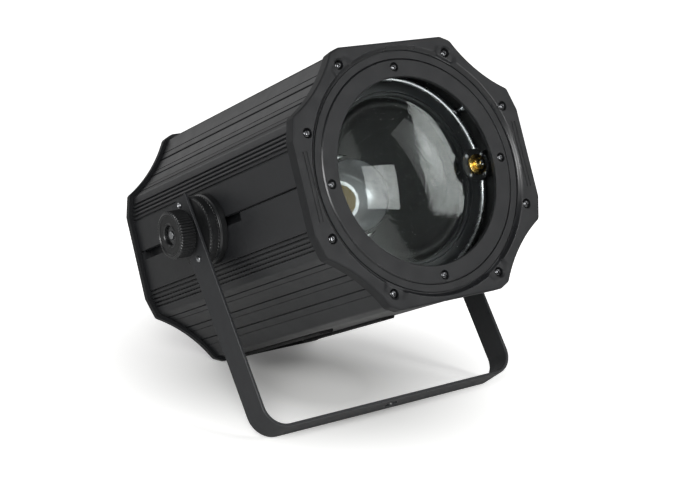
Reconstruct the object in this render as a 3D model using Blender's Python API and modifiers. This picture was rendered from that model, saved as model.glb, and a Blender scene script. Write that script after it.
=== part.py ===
"""LED par can with a motorised zoom lens, in metres, resting on its rear bezel and its yoke.

The body is modelled about its optical axis: X to the right seen from the front, Y up and Z along
the beam, with Z = 0 on the face of the lens ring.  One empty tilts the body up until the yoke's
bar and the rear bezel stand on one level, and one more carries the yoke about its pivots.
"""

import math

import bmesh
import bpy
from mathutils import Matrix, Vector

# Overall sizes; the lens ring's radius drives the width and height
RING_OUTER = 0.10125
BAND_WIDTH = 0.00805         # of the recess round the lens ring
SIDE_RIM = 0.0157            # from the recess to the bezel's sides
TOP_RIM = 0.0072             # from the recess to the bezel's top and bottom
BODY_DEPTH = 0.3125          # from the lens ring's face to the rear bezel's back
TOP_FLAT = 0.049             # half length of the top and bottom flats
TOP_CHAMFER_RUN = 0.0156
TOP_CHAMFER_DROP = 0.0048
SIDE_FLAT = 0.0411           # half length of the side flats
SIDE_CHAMFER_RUN = 0.020
SIDE_CHAMFER_DROP = 0.0067
CORNER_SAG = 0.0074          # how far each corner facet is hollowed
CORNER_STEPS = 5

# Housing shells
HOUSING_INSET = 0.0045       # the shells stand this far inside the bezels' outline
HOUSING_WALL = 0.0032
SEAM_HEIGHT = 0.004          # the shells meet above the middle, at the slots' upper edge
SIDE_GROOVES = 5
SIDE_GROOVE_FIRST = 0.0354
SIDE_GROOVE_PITCH = 0.004
SIDE_GROOVE_WIDTH = 0.0016
SIDE_GROOVE_DEPTH = 0.0015
FACET_GROOVES = 3
FACET_GROOVE_WIDTH = 0.0012
FACET_GROOVE_DEPTH = 0.0008
BOSS_RADIUS = 0.0076
BOSS_SETBACK = 0.0005

# Fits
GAP = 0.0003                 # between faces that touch
SCREW_CLEARANCE = 0.0003
OVERCUT = 0.010              # how far a cutter runs past what it cuts
OVERLAP = 0.0005             # how deep a joined piece is sunk into its neighbour

# Front bezel
LAND_LEVEL = 0.0026          # the raised land round the recess
BAND_LEVEL = 0.0008          # the recess floor round the lens ring
BEZEL_REAR = -0.016
BEZEL_PLATE = 0.0066         # the bezel's front plate, from the ring's face backwards
PAD_WIDTH = 0.021
PAD_OVERLAP = 0.004          # how far the pads' cuts reach into the recess
COLLAR_WALL = 0.0032
BEZEL_EDGE = 0.0015
FLUTE_LENGTH = 0.062
FLUTE_WIDTH = 0.0016
FLUTE_DEPTH = 0.0009
FLUTE_OFFSETS = (0.0072, 0.0107)     # from the side edge
TOP_SCREW_OUT = 0.0098        # beyond the end of the top flat
TOP_SCREW_INSET = 0.0151      # from the top edge
SIDE_SCREW_OUT = 0.00485      # beyond the end of the side flat
SIDE_SCREW_INSET = 0.0165     # from the side edge

# Lens ring, glass and gasket
RING_WIDTH = 0.01625
RING_THICKNESS = 0.004
RING_CHAMFER = 0.0007
RING_SCREW_INSET = 0.00705
GLASS_MARGIN = 0.0027        # from the ring screws' circle to the glass's edge
GLASS_THICKNESS = 0.003
GASKET_WIDTH = 0.0015
GASKET_THICKNESS = 0.0008
LEDGE_WIDTH = 0.0017
LEDGE_THICKNESS = 0.0023

# Barrel, bulkhead and guide rods
BARREL_WALL = 0.002
BULKHEAD_FRONT = -0.106
BULKHEAD_THICKNESS = 0.003
WINDOW_HEIGHT = 0.025
WINDOW_FRONT = -0.020
WINDOW_REAR = -0.100
ROD_RADIUS = 0.003
ROD_INSET = 0.005            # from the barrel's wall to the rods' axes
ROD_ANGLE = 33.0             # degrees from the lead screw, the other rod lies opposite
RUNNING_GAP = 0.0003

# Zoom carriage
CARRIAGE_FRONT = -0.0295
CARRIAGE_DEPTH = 0.0175
CARRIAGE_INSET = 0.0045      # inside the rods' axes
CARRIAGE_RIM = 0.0147        # round the lens
LENS_LIP = 0.0038            # behind the lens's edge
LENS_EDGE = 0.005
LENS_BULGE = 0.012
LENS_SEAT = 0.0035           # from the carriage's front to the lens's edge
RETAINER_WIDTH = 0.0026
RETAINER_THICKNESS = 0.0016
EAR_RADIUS = 0.015
EAR_THICKNESS = 0.003
EAR_STANDOFF = 0.002
NUT_POST_WIDTH = 0.018
ROD_EAR_WIDTH = 0.016
ROD_EAR_LENGTH = 0.012
ROD_EAR_DEPTH = 0.012
ROD_EAR_CLEARANCE = 0.0015

# Zoom drive
SCREW_RADIUS = 0.003
SCREW_SPACE = 0.0018         # from the lens's edge to the lead screw
SCREW_FRONT = -0.013
NUT_FLANGE_RADIUS = 0.0095
NUT_FLANGE = 0.0025
NUT_RADIUS = 0.0055
NUT_FRONT = 0.0035           # the nut's barrel in front of its flange
NUT_SETBACK = 0.0005
MOTOR_WIDTH = 0.028
MOTOR_DEPTH = 0.030
MOTOR_EDGE = 0.002
MOTOR_BORE_DEPTH = 0.006

# Lamp and cooling
LAMP_HOLE = 0.037
LED_WIDTH = 0.040
LED_THICKNESS = 0.003
EMITTER_RADIUS = 0.013
EMITTER_THICKNESS = 0.001
REFLECTOR_FRONT = -0.0915
REFLECTOR_MOUTH = 0.032
REFLECTOR_THROAT = 0.018
REFLECTOR_WALL = 0.002
SINK_SPACE = 0.0056          # from the heat sink to the motor
SINK_HEIGHT = 0.140
SINK_BASE = 0.006
SINK_DEPTH = 0.080
FINS = 15
FIN_THICKNESS = 0.002

# Rear bezel and panel
REAR_BEZEL_DEPTH = 0.013
REAR_BEZEL_FLOOR = 0.0035
REAR_OPENING_INSET = 0.018
REAR_HEAD_PROUD = 0.0005     # of the screw heads behind the rear bezel
PANEL_THICKNESS = 0.002

# Fan and guard
FAN_MARGIN = 0.0115          # from the guard to the rear opening's top
FAN_WIDTH = 0.092
FAN_DEPTH = 0.025
FAN_BORE = 0.044
FAN_HUB = 0.017
FAN_HUB_EDGE = 0.002
FAN_TIP_CLEARANCE = 0.004
FAN_PLATE = 0.003            # of the fixed hub that carries the spindle
FAN_SETBACK = 0.0005
FAN_STRUT_WIDTH = 0.005
FAN_STRUT_THICKNESS = 0.002
FAN_BLADES = 7
BLADE_CHORD = 0.021
BLADE_THICKNESS = 0.002
BLADE_PITCH = 38.0
SPINDLE_RADIUS = 0.003
GUARD_RINGS = 3
GUARD_RADIUS = 0.0470
GUARD_PITCH = 0.0135
GUARD_BAR = 0.0024
GUARD_THICKNESS = 0.002
SPOKE_SETBACK = 0.0002

# Controls and sockets on the rear panel
CONTROLS_SPACE = 0.0025       # from the display down to the sockets
BOARD_WIDTH = 0.150
BOARD_HEIGHT = 0.034
BOARD_THICKNESS = 0.0016
BOARD_STANDOFF = 0.008
STANDOFF_RADIUS = 0.0028
STANDOFF_INSET = 0.0045
DISPLAY_WIDTH = 0.058
DISPLAY_HEIGHT = 0.024
DISPLAY_CENTRE = -0.034
DISPLAY_PROUD = 0.0007
BUTTONS = 4
BUTTON_RADIUS = 0.0045
BUTTON_FIRST = 0.010
BUTTON_PITCH = 0.0155
BUTTON_PROUD = 0.0026
BUTTON_EDGE = 0.0006
BUTTON_TRAVEL = 0.001
BUTTON_FLANGE = 0.0062
BUTTON_FLANGE_THICKNESS = 0.002
FUSE_SPACE = 0.0028          # from the board to the fuse's body
FUSE_BODY_RADIUS = 0.0062
FUSE_FLANGE_RADIUS = 0.0085
FUSE_CAP_RADIUS = 0.0066
FUSE_CAP_HEIGHT = 0.0045
FUSE_CAP_EDGE = 0.0006
FUSE_FLANGE = 0.0015
FUSE_BORE = 0.0038
FUSE_BORE_DEPTH = 0.012
FUSE_BODY_DEPTH = 0.018
FUSE_CAP_CLEARANCE = 0.002
FUSE_SLOT = (0.010, 0.0014, 0.0015)
SOCKET_MARGIN = 0.009         # from the rear opening's bottom to the sockets
SOCKET_PITCH = 0.028
SOCKET_WIDTH = 0.026
SOCKET_HEIGHT = 0.031
SOCKET_FLANGE = 0.002
SOCKET_BODY_RADIUS = 0.0117
SOCKET_BODY_DEPTH = 0.024
SOCKET_CAVITY_DEPTH = 0.012
SIGNAL_CAVITY_RADIUS = 0.0095
SIGNAL_INSERT_RADIUS = 0.0074
PIN_RADIUS = 0.00125
PIN_CIRCLE = 0.0047
PIN_SETBACK = 0.002
POWER_CAVITY_RADIUS = 0.0098
POWER_PILLAR_RADIUS = 0.0045
LATCH_WIDTH = 0.007
LATCH_HEIGHT = 0.0036
LATCH_PROUD = 0.0012
LATCH_DEPTH = 0.0009
LATCH_EDGE = 0.0004
LATCH_SLOT_DEPTH = 0.003
LATCH_CENTRE = 0.0122        # over the socket's axis
EYE_POSITION = (0.084, 0.036)
EYE_WIRE = 0.0025
EYE_HALF_SPAN = 0.010
EYE_REACH = 0.020
EYE_BASE = (0.012, 0.034, 0.002)

# Power supply and rest strips
SUPPLY_SIZE = (0.092, 0.036, 0.070)
SUPPLY_EDGE = 0.001
SUPPLY_CLEARANCE = 0.0127    # in front of the sockets' bodies
STRIP_OFFSET = 0.036
STRIP_WIDTH = 0.016
STRIP_SETBACK = 0.0115       # in front of the rear bezel
STRIP_LENGTH = 0.140
STRIP_EDGE = 0.0012

# Yoke and its pivots
PIVOT_DEPTH = 0.1695         # of the pivot axis behind the lens ring's face
YOKE_LENGTH = 0.1993         # from the pivot axis to the bar's outer face
YOKE_STRIP = 0.030
YOKE_THICKNESS = 0.003
YOKE_BEND = 0.0225           # outer radius
BEND_STEPS = 7
YOKE_LEAN = 12.85            # degrees from square to the optical axis, towards the beam
YOKE_HEAD_RADIUS = 0.0355
YOKE_EDGE = 0.0004
YOKE_BAR_HOLE = 0.0065
YOKE_HOLE_CLEARANCE = 0.0007
DISC_SCREW_OFFSET = 0.027
SLOT_HEIGHT = 0.008
SLOT_FRONT = -0.112
SLOT_MARGIN = 0.0044         # of shell behind the slots
SLIDE_DISC_RADIUS = 0.0327
SLIDE_DISC_THICKNESS = 0.0075
YOKE_DISC_RADIUS = 0.032
YOKE_DISC_THICKNESS = 0.0101
YOKE_DISC_CHAMFER = 0.0015
BOLT_RADIUS = 0.0037
BOLT_SETBACK = 0.002         # of the bolt's end inside the knob's face
BOLT_HEAD = 0.006
BOLT_HEAD_WIDTH = 0.018
BOLT_HEAD_HEIGHT = 0.020
WASHER_RADIUS = 0.011
WASHER_THICKNESS = 0.0012
KNOB_RADIUS = 0.022
KNOB_LENGTH = 0.017
KNOB_BOSS_RADIUS = 0.010
KNOB_BOSS_LENGTH = 0.0027
KNOB_RECESS_RADIUS = 0.009
KNOB_RECESS_DEPTH = 0.006
KNOB_RIBS = 18
KNOB_RIB_DEPTH = 0.0011
KNOB_EDGE = 0.0019
INSERT_THICKNESS = 0.0026

# Screws
BEZEL_SCREW = (0.0037, 0.0026, 0.0016)       # head radius and height, shank radius
RING_SCREW = (0.0034, 0.0022, 0.0015)
RING_SCREW_LENGTH = 0.0072
DISC_SCREW_RADIUS = 0.0016
HEAD_CLEARANCE = 0.0008
HEAD_SETBACK = 0.0005

ROUND = 48
INNER_ROUND = 36
MIDDLE = 32
SMALL = 10
TINY = 8

# Sizes and places that follow from the ones above
RECESS_RADIUS = RING_OUTER + BAND_WIDTH
HALF_WIDTH = RECESS_RADIUS + SIDE_RIM
HALF_HEIGHT = RECESS_RADIUS + TOP_RIM
BEZEL_SCREWS = ((TOP_FLAT + TOP_SCREW_OUT, HALF_HEIGHT - TOP_SCREW_INSET),
                (HALF_WIDTH - SIDE_SCREW_INSET, SIDE_FLAT + SIDE_SCREW_OUT))
RING_INNER = RING_OUTER - RING_WIDTH
RING_SCREW_CIRCLE = RING_OUTER - RING_SCREW_INSET
GLASS_RADIUS = RING_SCREW_CIRCLE - GLASS_MARGIN
GASKET_INNER = GLASS_RADIUS - GASKET_WIDTH
LEDGE_INNER = GLASS_RADIUS - LEDGE_WIDTH
BARREL_OUTER = HALF_HEIGHT - HOUSING_INSET - HOUSING_WALL - COLLAR_WALL - 2 * GAP
BARREL_INNER = BARREL_OUTER - BARREL_WALL
ROD_CIRCLE = BARREL_INNER - ROD_INSET
CARRIAGE_RADIUS = ROD_CIRCLE - CARRIAGE_INSET
LENS_RADIUS = CARRIAGE_RADIUS - CARRIAGE_RIM
CARRIAGE_BORE = LENS_RADIUS - LENS_LIP
RETAINER_INNER = LENS_RADIUS - RETAINER_WIDTH
SCREW_AXIS = LENS_RADIUS + SCREW_SPACE + SCREW_RADIUS
SINK_WIDTH = 2 * (SCREW_AXIS - MOTOR_WIDTH / 2 - SINK_SPACE)
OPENING_HALF_HEIGHT = HALF_HEIGHT - REAR_OPENING_INSET
FAN_HEIGHT = OPENING_HALF_HEIGHT - FAN_MARGIN - GUARD_RADIUS
SOCKETS_HEIGHT = -OPENING_HALF_HEIGHT + SOCKET_MARGIN + SOCKET_HEIGHT / 2
CONTROLS_HEIGHT = SOCKETS_HEIGHT + SOCKET_HEIGHT / 2 + CONTROLS_SPACE + DISPLAY_HEIGHT / 2
FUSE_CENTRE = BOARD_WIDTH / 2 + FUSE_SPACE + FUSE_BODY_RADIUS
HOUSING_FRONT = -BEZEL_PLATE - GAP
REAR_FLOOR = -BODY_DEPTH + REAR_BEZEL_FLOOR
PANEL_REAR = REAR_FLOOR + GAP
PANEL_FRONT = PANEL_REAR + PANEL_THICKNESS
HOUSING_REAR = PANEL_FRONT + GAP
SLOT_REAR = HOUSING_REAR + SLOT_MARGIN
STRIP_REAR = -BODY_DEPTH + REAR_BEZEL_DEPTH + STRIP_SETBACK
SUPPLY_REAR = PANEL_FRONT + SOCKET_BODY_DEPTH + SUPPLY_CLEARANCE
RING_SEAT = -RING_THICKNESS - GAP
GLASS_REAR = RING_SEAT - GLASS_THICKNESS
GASKET_REAR = GLASS_REAR - GAP - GASKET_THICKNESS
LEDGE_FRONT = GASKET_REAR - GAP
LEDGE_REAR = LEDGE_FRONT - LEDGE_THICKNESS
BULKHEAD_REAR = BULKHEAD_FRONT - BULKHEAD_THICKNESS
SINK_FRONT = BULKHEAD_REAR - GAP
LENS_FRONT_EDGE = CARRIAGE_FRONT - LENS_SEAT
EAR_FRONT = CARRIAGE_FRONT + EAR_STANDOFF + EAR_THICKNESS
OUTER_SIDE = HALF_WIDTH - HOUSING_INSET
SLIDE_DISC_OUTER = OUTER_SIDE + GAP + SLIDE_DISC_THICKNESS
YOKE_DISC_INNER = SLIDE_DISC_OUTER + GAP
YOKE_INNER = YOKE_DISC_INNER + YOKE_DISC_THICKNESS + GAP
YOKE_HALF_WIDTH = YOKE_INNER + YOKE_THICKNESS
WASHER_INNER = YOKE_HALF_WIDTH + GAP
KNOB_START = WASHER_INNER + WASHER_THICKNESS + GAP
KNOB_FACE = KNOB_START + KNOB_BOSS_LENGTH + KNOB_LENGTH
KNOB_RECESS_FLOOR = KNOB_FACE - KNOB_RECESS_DEPTH

SIDES = {"left": -1, "right": 1}


# Scene and materials

def clear_scene():
    for item in list(bpy.data.objects):
        bpy.data.objects.remove(item, do_unlink=True)
    for collection in list(bpy.data.collections):
        bpy.data.collections.remove(collection)


def new_collection(name):
    collection = bpy.data.collections.new(name)
    bpy.context.scene.collection.children.link(collection)
    return collection


def material(name, colour, roughness, metallic=0.0):
    made = bpy.data.materials.new(name)
    made.use_nodes = True
    shader = made.node_tree.nodes["Principled BSDF"]
    shader.inputs["Base Color"].default_value = (*colour, 1.0)
    shader.inputs["Roughness"].default_value = roughness
    shader.inputs["Metallic"].default_value = metallic
    made.diffuse_color = (*colour, 1.0)
    return made


def make_materials():
    return {
        "shell": material("painted_aluminium", (0.075, 0.077, 0.082), 0.48, 0.3),
        "moulding": material("black_moulding", (0.085, 0.086, 0.092), 0.5),
        "rubber": material("black_rubber", (0.02, 0.02, 0.021), 0.85),
        "steel": material("zinc_steel", (0.62, 0.62, 0.63), 0.28, 1.0),
        "brass": material("brass", (0.68, 0.55, 0.24), 0.25, 1.0),
        "aluminium": material("bare_aluminium", (0.7, 0.71, 0.72), 0.35, 1.0),
        "glass": material("clear_glass", (0.85, 0.88, 0.9), 0.03),
        "board": material("green_board", (0.03, 0.16, 0.07), 0.5),
        "emitter": material("phosphor", (0.9, 0.72, 0.12), 0.6),
        "blue": material("blue_moulding", (0.03, 0.16, 0.5), 0.45),
        "grey": material("grey_moulding", (0.45, 0.46, 0.47), 0.5),
    }


# Modelling helpers

def add_empty(name, parent, location=(0, 0, 0), rotation=(0, 0, 0)):
    empty = bpy.data.objects.new(name, None)
    bpy.context.scene.collection.objects.link(empty)
    empty.parent = parent
    empty.location = location
    empty.rotation_euler = rotation
    empty.empty_display_size = 0.02
    return empty


class Workshop:
    """Adds parts and cutters, each under the empty that is in use."""

    def __init__(self):
        self.parts = new_collection("led_par_can")
        self.cutters = new_collection("cutters")
        self.materials = make_materials()
        self.frame = None

    def add(self, name, mesh, look, location=(0, 0, 0), rotation=(0, 0, 0)):
        mesh.materials.clear()
        mesh.materials.append(self.materials[look])
        return self.link(name, mesh, self.parts, location, rotation)

    def tool(self, name, mesh, location=(0, 0, 0), rotation=(0, 0, 0)):
        made = self.link(name, mesh, self.cutters, location, rotation)
        made.hide_render = True
        made.display_type = "WIRE"
        return made

    def link(self, name, mesh, collection, location, rotation):
        made = bpy.data.objects.new(name, mesh)
        collection.objects.link(made)
        made.parent = self.frame
        made.location = location
        made.rotation_euler = rotation
        return made


def combine(target, tool, operation):
    change = target.modifiers.new(f"{operation.lower()}_{tool.name}", "BOOLEAN")
    change.operation = operation
    change.solver = "EXACT"
    change.object = tool


def cut(target, *tools):
    for tool in tools:
        combine(target, tool, "DIFFERENCE")


def join(target, *tools):
    for tool in tools:
        combine(target, tool, "UNION")


def finish_mesh(bm, name, sharp=32.0):
    bmesh.ops.recalc_face_normals(bm, faces=bm.faces)
    mesh = bpy.data.meshes.new(name)
    bm.to_mesh(mesh)
    bm.free()
    mesh.shade_smooth()
    mesh.set_sharp_from_angle(angle=math.radians(sharp))
    return mesh


def evaluated_mesh(source, name):
    """The source's mesh with its modifiers or curve settings applied; the source is removed."""
    graph = bpy.context.evaluated_depsgraph_get()
    mesh = bpy.data.meshes.new_from_object(source.evaluated_get(graph))
    mesh.name = name
    data = source.data
    bpy.data.objects.remove(source, do_unlink=True)
    if isinstance(data, bpy.types.Mesh):
        bpy.data.meshes.remove(data)
    else:
        bpy.data.curves.remove(data)
    bm = bmesh.new()
    bm.from_mesh(mesh)
    bmesh.ops.remove_doubles(bm, verts=bm.verts, dist=1e-5)
    bpy.data.meshes.remove(mesh)
    return finish_mesh(bm, name)


def turned(name, profile, steps, closed=False):
    """A profile of (radius, height) points, outer side from top to bottom, turned about Z."""
    mesh = bpy.data.meshes.new(name)
    edges = [(i, i + 1) for i in range(len(profile) - 1)]
    if closed:
        edges.append((len(profile) - 1, 0))
    mesh.from_pydata([(radius, 0, height) for radius, height in profile], edges, [])
    source = bpy.data.objects.new(name, mesh)
    bpy.context.scene.collection.objects.link(source)
    screw = source.modifiers.new("turn", "SCREW")
    screw.steps = steps
    screw.render_steps = steps
    screw.use_merge_vertices = True
    screw.merge_threshold = 0.00005
    return evaluated_mesh(source, name)


def ring(name, inner, outer, top, bottom, steps):
    profile = [(inner, top), (outer, top), (outer, bottom), (inner, bottom)]
    return turned(name, profile, steps, closed=True)


def cylinder(name, radius, top, bottom, steps):
    return turned(name, [(0, top), (radius, top), (radius, bottom), (0, bottom)], steps)


def box(name, size, centre=(0, 0, 0), bevel=0.0):
    bm = bmesh.new()
    bmesh.ops.create_cube(bm, size=1.0)
    bmesh.ops.scale(bm, vec=size, verts=bm.verts)
    bmesh.ops.translate(bm, vec=centre, verts=bm.verts)
    if bevel:
        bmesh.ops.bevel(bm, geom=list(bm.edges), offset=bevel, segments=1, affect="EDGES")
    return finish_mesh(bm, name)


def plate(name, outlines, bottom, top):
    """Flat outlines in XY, the later ones as holes in the first, raised from bottom to top."""
    curve = bpy.data.curves.new(name, "CURVE")
    curve.dimensions = "2D"
    curve.fill_mode = "BOTH"
    curve.extrude = (top - bottom) / 2
    for outline in outlines:
        spline = curve.splines.new("POLY")
        spline.points.add(len(outline) - 1)
        for point, (x, y) in zip(spline.points, outline):
            point.co = (x, y, 0, 1)
        spline.use_cyclic_u = True
    source = bpy.data.objects.new(name, curve)
    bpy.context.scene.collection.objects.link(source)
    mesh = evaluated_mesh(source, name)
    mesh.transform(Matrix.Translation((0, 0, (top + bottom) / 2)))
    return mesh


def group(name, mesh, places):
    """Copies of a mesh at the given matrices, as one mesh of separate solids."""
    bm = bmesh.new()
    for place in places:
        copy = mesh.copy()
        copy.transform(place)
        bm.from_mesh(copy)
        bpy.data.meshes.remove(copy)
    bpy.data.meshes.remove(mesh)
    return finish_mesh(bm, name)


def at(x, y, z=0.0):
    return Matrix.Translation((x, y, z))


def four_ways(x, y, z=0.0):
    return [at(sx * x, sy * y, z) for sx in (-1, 1) for sy in (-1, 1)]


def around(radius, count, z=0.0, first=0.0):
    angles = [math.radians(first) + 2 * math.pi * i / count for i in range(count)]
    return [at(radius * math.cos(a), radius * math.sin(a), z) for a in angles]


def screw_profile(sizes, length):
    head, height, shank = sizes
    return [(0, height), (head * 0.8, height * 0.85), (head, 0), (shank, 0), (shank, -length), (0, -length)]


def counterbores(name, sizes, places, turned_over=False, length=3 * OVERCUT):
    """Stepped cutters that clear a screw's head from its seat outwards and its shank inwards."""
    head = sizes[0] + HEAD_CLEARANCE
    shank = sizes[2] + SCREW_CLEARANCE
    profile = [(0, length), (head, length), (head, -GAP), (shank, -GAP), (shank, -length), (0, -length)]
    mesh = turned(name, profile, TINY)
    mesh.transform(Matrix.Rotation(math.pi / TINY, 4, "Z"))
    if turned_over:
        mesh.transform(Matrix.Rotation(math.pi, 4, "X"))
    return group(name, mesh, places)


def straight_screw_holes(name, radius, places, top, bottom):
    mesh = cylinder(name, radius, top, bottom, TINY)
    mesh.transform(Matrix.Rotation(math.pi / TINY, 4, "Z"))
    return group(name, mesh, places)


# The outline shared by the bezels and the housing

def arc_points(start, end, sag, steps):
    """Points of an arc bowed to the left of the way from start to end, without the start."""
    start, end = Vector(start), Vector(end)
    chord = end - start
    half = chord.length / 2
    left = Vector((-chord.y, chord.x)) / chord.length
    radius = (half * half + sag * sag) / (2 * sag)
    centre = (start + end) / 2 + left * (sag - radius)
    first = start - centre
    sweep = 2 * math.asin(half / radius)
    turn = 1 if first.x * (end - centre).y - first.y * (end - centre).x > 0 else -1
    points = []
    for i in range(1, steps + 1):
        angle = turn * sweep * i / steps
        cosine, sine = math.cos(angle), math.sin(angle)
        points.append((centre.x + first.x * cosine - first.y * sine,
                       centre.y + first.x * sine + first.y * cosine))
    return points


def offset_path(path, distance):
    """The open path moved to its left, with mitred corners."""
    points = [Vector(p) for p in path]
    normals = []
    for a, b in zip(points, points[1:]):
        along = (b - a).normalized()
        normals.append(Vector((-along.y, along.x)))
    moved = []
    for i, point in enumerate(points):
        before = normals[max(i - 1, 0)]
        after = normals[min(i, len(normals) - 1)]
        mitre = (before + after).normalized()
        moved.append(tuple(point + mitre * (distance / mitre.dot(after))))
    return moved


def quarter(inset=0.0):
    """From the middle of the right side up to the middle of the top."""
    side_end = (HALF_WIDTH - SIDE_CHAMFER_DROP, SIDE_FLAT + SIDE_CHAMFER_RUN)
    top_end = (TOP_FLAT + TOP_CHAMFER_RUN, HALF_HEIGHT - TOP_CHAMFER_DROP)
    path = [(HALF_WIDTH, 0), (HALF_WIDTH, SIDE_FLAT), side_end]
    path += arc_points(side_end, top_end, CORNER_SAG, CORNER_STEPS)
    path += [(TOP_FLAT, HALF_HEIGHT), (0, HALF_HEIGHT)]
    return offset_path(path, inset)


def across_top(path):
    """The path and its mirror image, without the middle point that lies on a straight."""
    return path[:-1] + [(-x, y) for x, y in reversed(path[:-1])]


def outline(inset=0.0):
    top = across_top(quarter(inset)[1:])
    return top + [(-x, -y) for x, y in top]


def circle(radius, steps=ROUND, centre=(0.0, 0.0)):
    angles = [2 * math.pi * i / steps for i in range(steps)]
    return [(centre[0] + radius * math.cos(a), centre[1] + radius * math.sin(a)) for a in angles]


def lengths_along(path):
    total = [0.0]
    for a, b in zip(path, path[1:]):
        total.append(total[-1] + math.dist(a, b))
    return total


def point_along(path, distance):
    """The point and the left-hand normal at a distance along the path."""
    total = lengths_along(path)
    for i in range(len(path) - 1):
        if distance <= total[i + 1] or i == len(path) - 2:
            a, b = Vector(path[i]), Vector(path[i + 1])
            along = (b - a).normalized()
            return a + along * (distance - total[i]), Vector((-along.y, along.x))


def with_grooves(path, grooves):
    """The path with a square notch to its left for each (distance, width, depth)."""
    total = lengths_along(path)
    stops = [(s, tuple(p)) for s, p in zip(total, path)]
    for distance, width, depth in grooves:
        stops = [stop for stop in stops if abs(stop[0] - distance) > width / 2]
        for side, sunk in ((-1, False), (-0.999, True), (0.999, True), (1, False)):
            place, normal = point_along(path, distance + side * width / 2)
            if sunk:
                place = place + normal * depth
            stops.append((distance + side * width / 2, tuple(place)))
    return [point for _, point in sorted(stops)]


def shell_profile(start_height):
    """A half shell's section: the grooved outer side and back along the inner side."""
    outer = quarter(HOUSING_INSET)
    outer[0] = (outer[0][0], start_height)
    total = lengths_along(outer)
    grooves = [(SIDE_GROOVE_FIRST + i * SIDE_GROOVE_PITCH - start_height, SIDE_GROOVE_WIDTH,
                SIDE_GROOVE_DEPTH) for i in range(SIDE_GROOVES)]
    facet_start, facet_end = total[2], total[2 + CORNER_STEPS]
    for i in range(1, FACET_GROOVES + 1):
        distance = facet_start + (facet_end - facet_start) * i / (FACET_GROOVES + 1)
        grooves.append((distance, FACET_GROOVE_WIDTH, FACET_GROOVE_DEPTH))
    inner = quarter(HOUSING_INSET + HOUSING_WALL)
    inner[0] = (inner[0][0], start_height)
    outer = across_top(with_grooves(outer, grooves))
    return outer + list(reversed(across_top(inner)))


# Housing

def boss_places(upper):
    sign = 1 if upper else -1
    return [at(side * x, sign * y) for side in (-1, 1) for x, y in BEZEL_SCREWS]


def add_shell(shop, name, upper):
    start = SEAM_HEIGHT + GAP / 2 if upper else -SEAM_HEIGHT + GAP / 2
    profile = shell_profile(start)
    if not upper:
        profile = [(x, -y) for x, y in profile]
    shell = shop.add(name, plate(name, [profile], HOUSING_REAR, HOUSING_FRONT), "shell")
    top, bottom = HOUSING_FRONT - BOSS_SETBACK, HOUSING_REAR + BOSS_SETBACK
    boss = cylinder(f"{name}_boss", BOSS_RADIUS, top, bottom, SMALL)
    bosses = shop.tool(f"{name}_bosses", group(f"{name}_bosses", boss, boss_places(upper)))
    middle_of_wall = plate(f"{name}_limit", [outline(HOUSING_INSET + HOUSING_WALL / 2)], bottom - OVERCUT,
                           top + OVERCUT)
    combine(bosses, shop.tool(f"{name}_limit", middle_of_wall), "INTERSECT")
    join(shell, bosses)
    radius = BEZEL_SCREW[2] + SCREW_CLEARANCE
    holes = straight_screw_holes(f"{name}_holes", radius, boss_places(upper), 0.0, -BODY_DEPTH)
    cut(shell, shop.tool(f"{name}_holes", holes))
    return shell


def add_housing(shop):
    add_shell(shop, "housing_upper", True)
    lower = add_shell(shop, "housing_lower", False)
    slot = box("slots", (3 * HALF_WIDTH, SLOT_HEIGHT, SLOT_FRONT - SLOT_REAR),
               (0, SEAM_HEIGHT - SLOT_HEIGHT / 2, (SLOT_FRONT + SLOT_REAR) / 2))
    cut(lower, shop.tool("slots", slot))
    width = HALF_HEIGHT - HOUSING_INSET
    strip = box("rest_strip", (STRIP_WIDTH, HOUSING_INSET - GAP, STRIP_LENGTH),
                (0, -width - GAP - (HOUSING_INSET - GAP) / 2, STRIP_REAR + STRIP_LENGTH / 2), STRIP_EDGE)
    for word, side in SIDES.items():
        shop.add(f"rest_strip_{word}", strip, "rubber", (side * STRIP_OFFSET, 0, 0))


# Front bezel with its ring and glass

def bezel_seat(x, y):
    """The height of a bezel screw's seat: on a lowered pad at the top, on the land at the side."""
    level = BAND_LEVEL if y > x else LAND_LEVEL
    return level - BEZEL_SCREW[1] - HEAD_SETBACK


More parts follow.
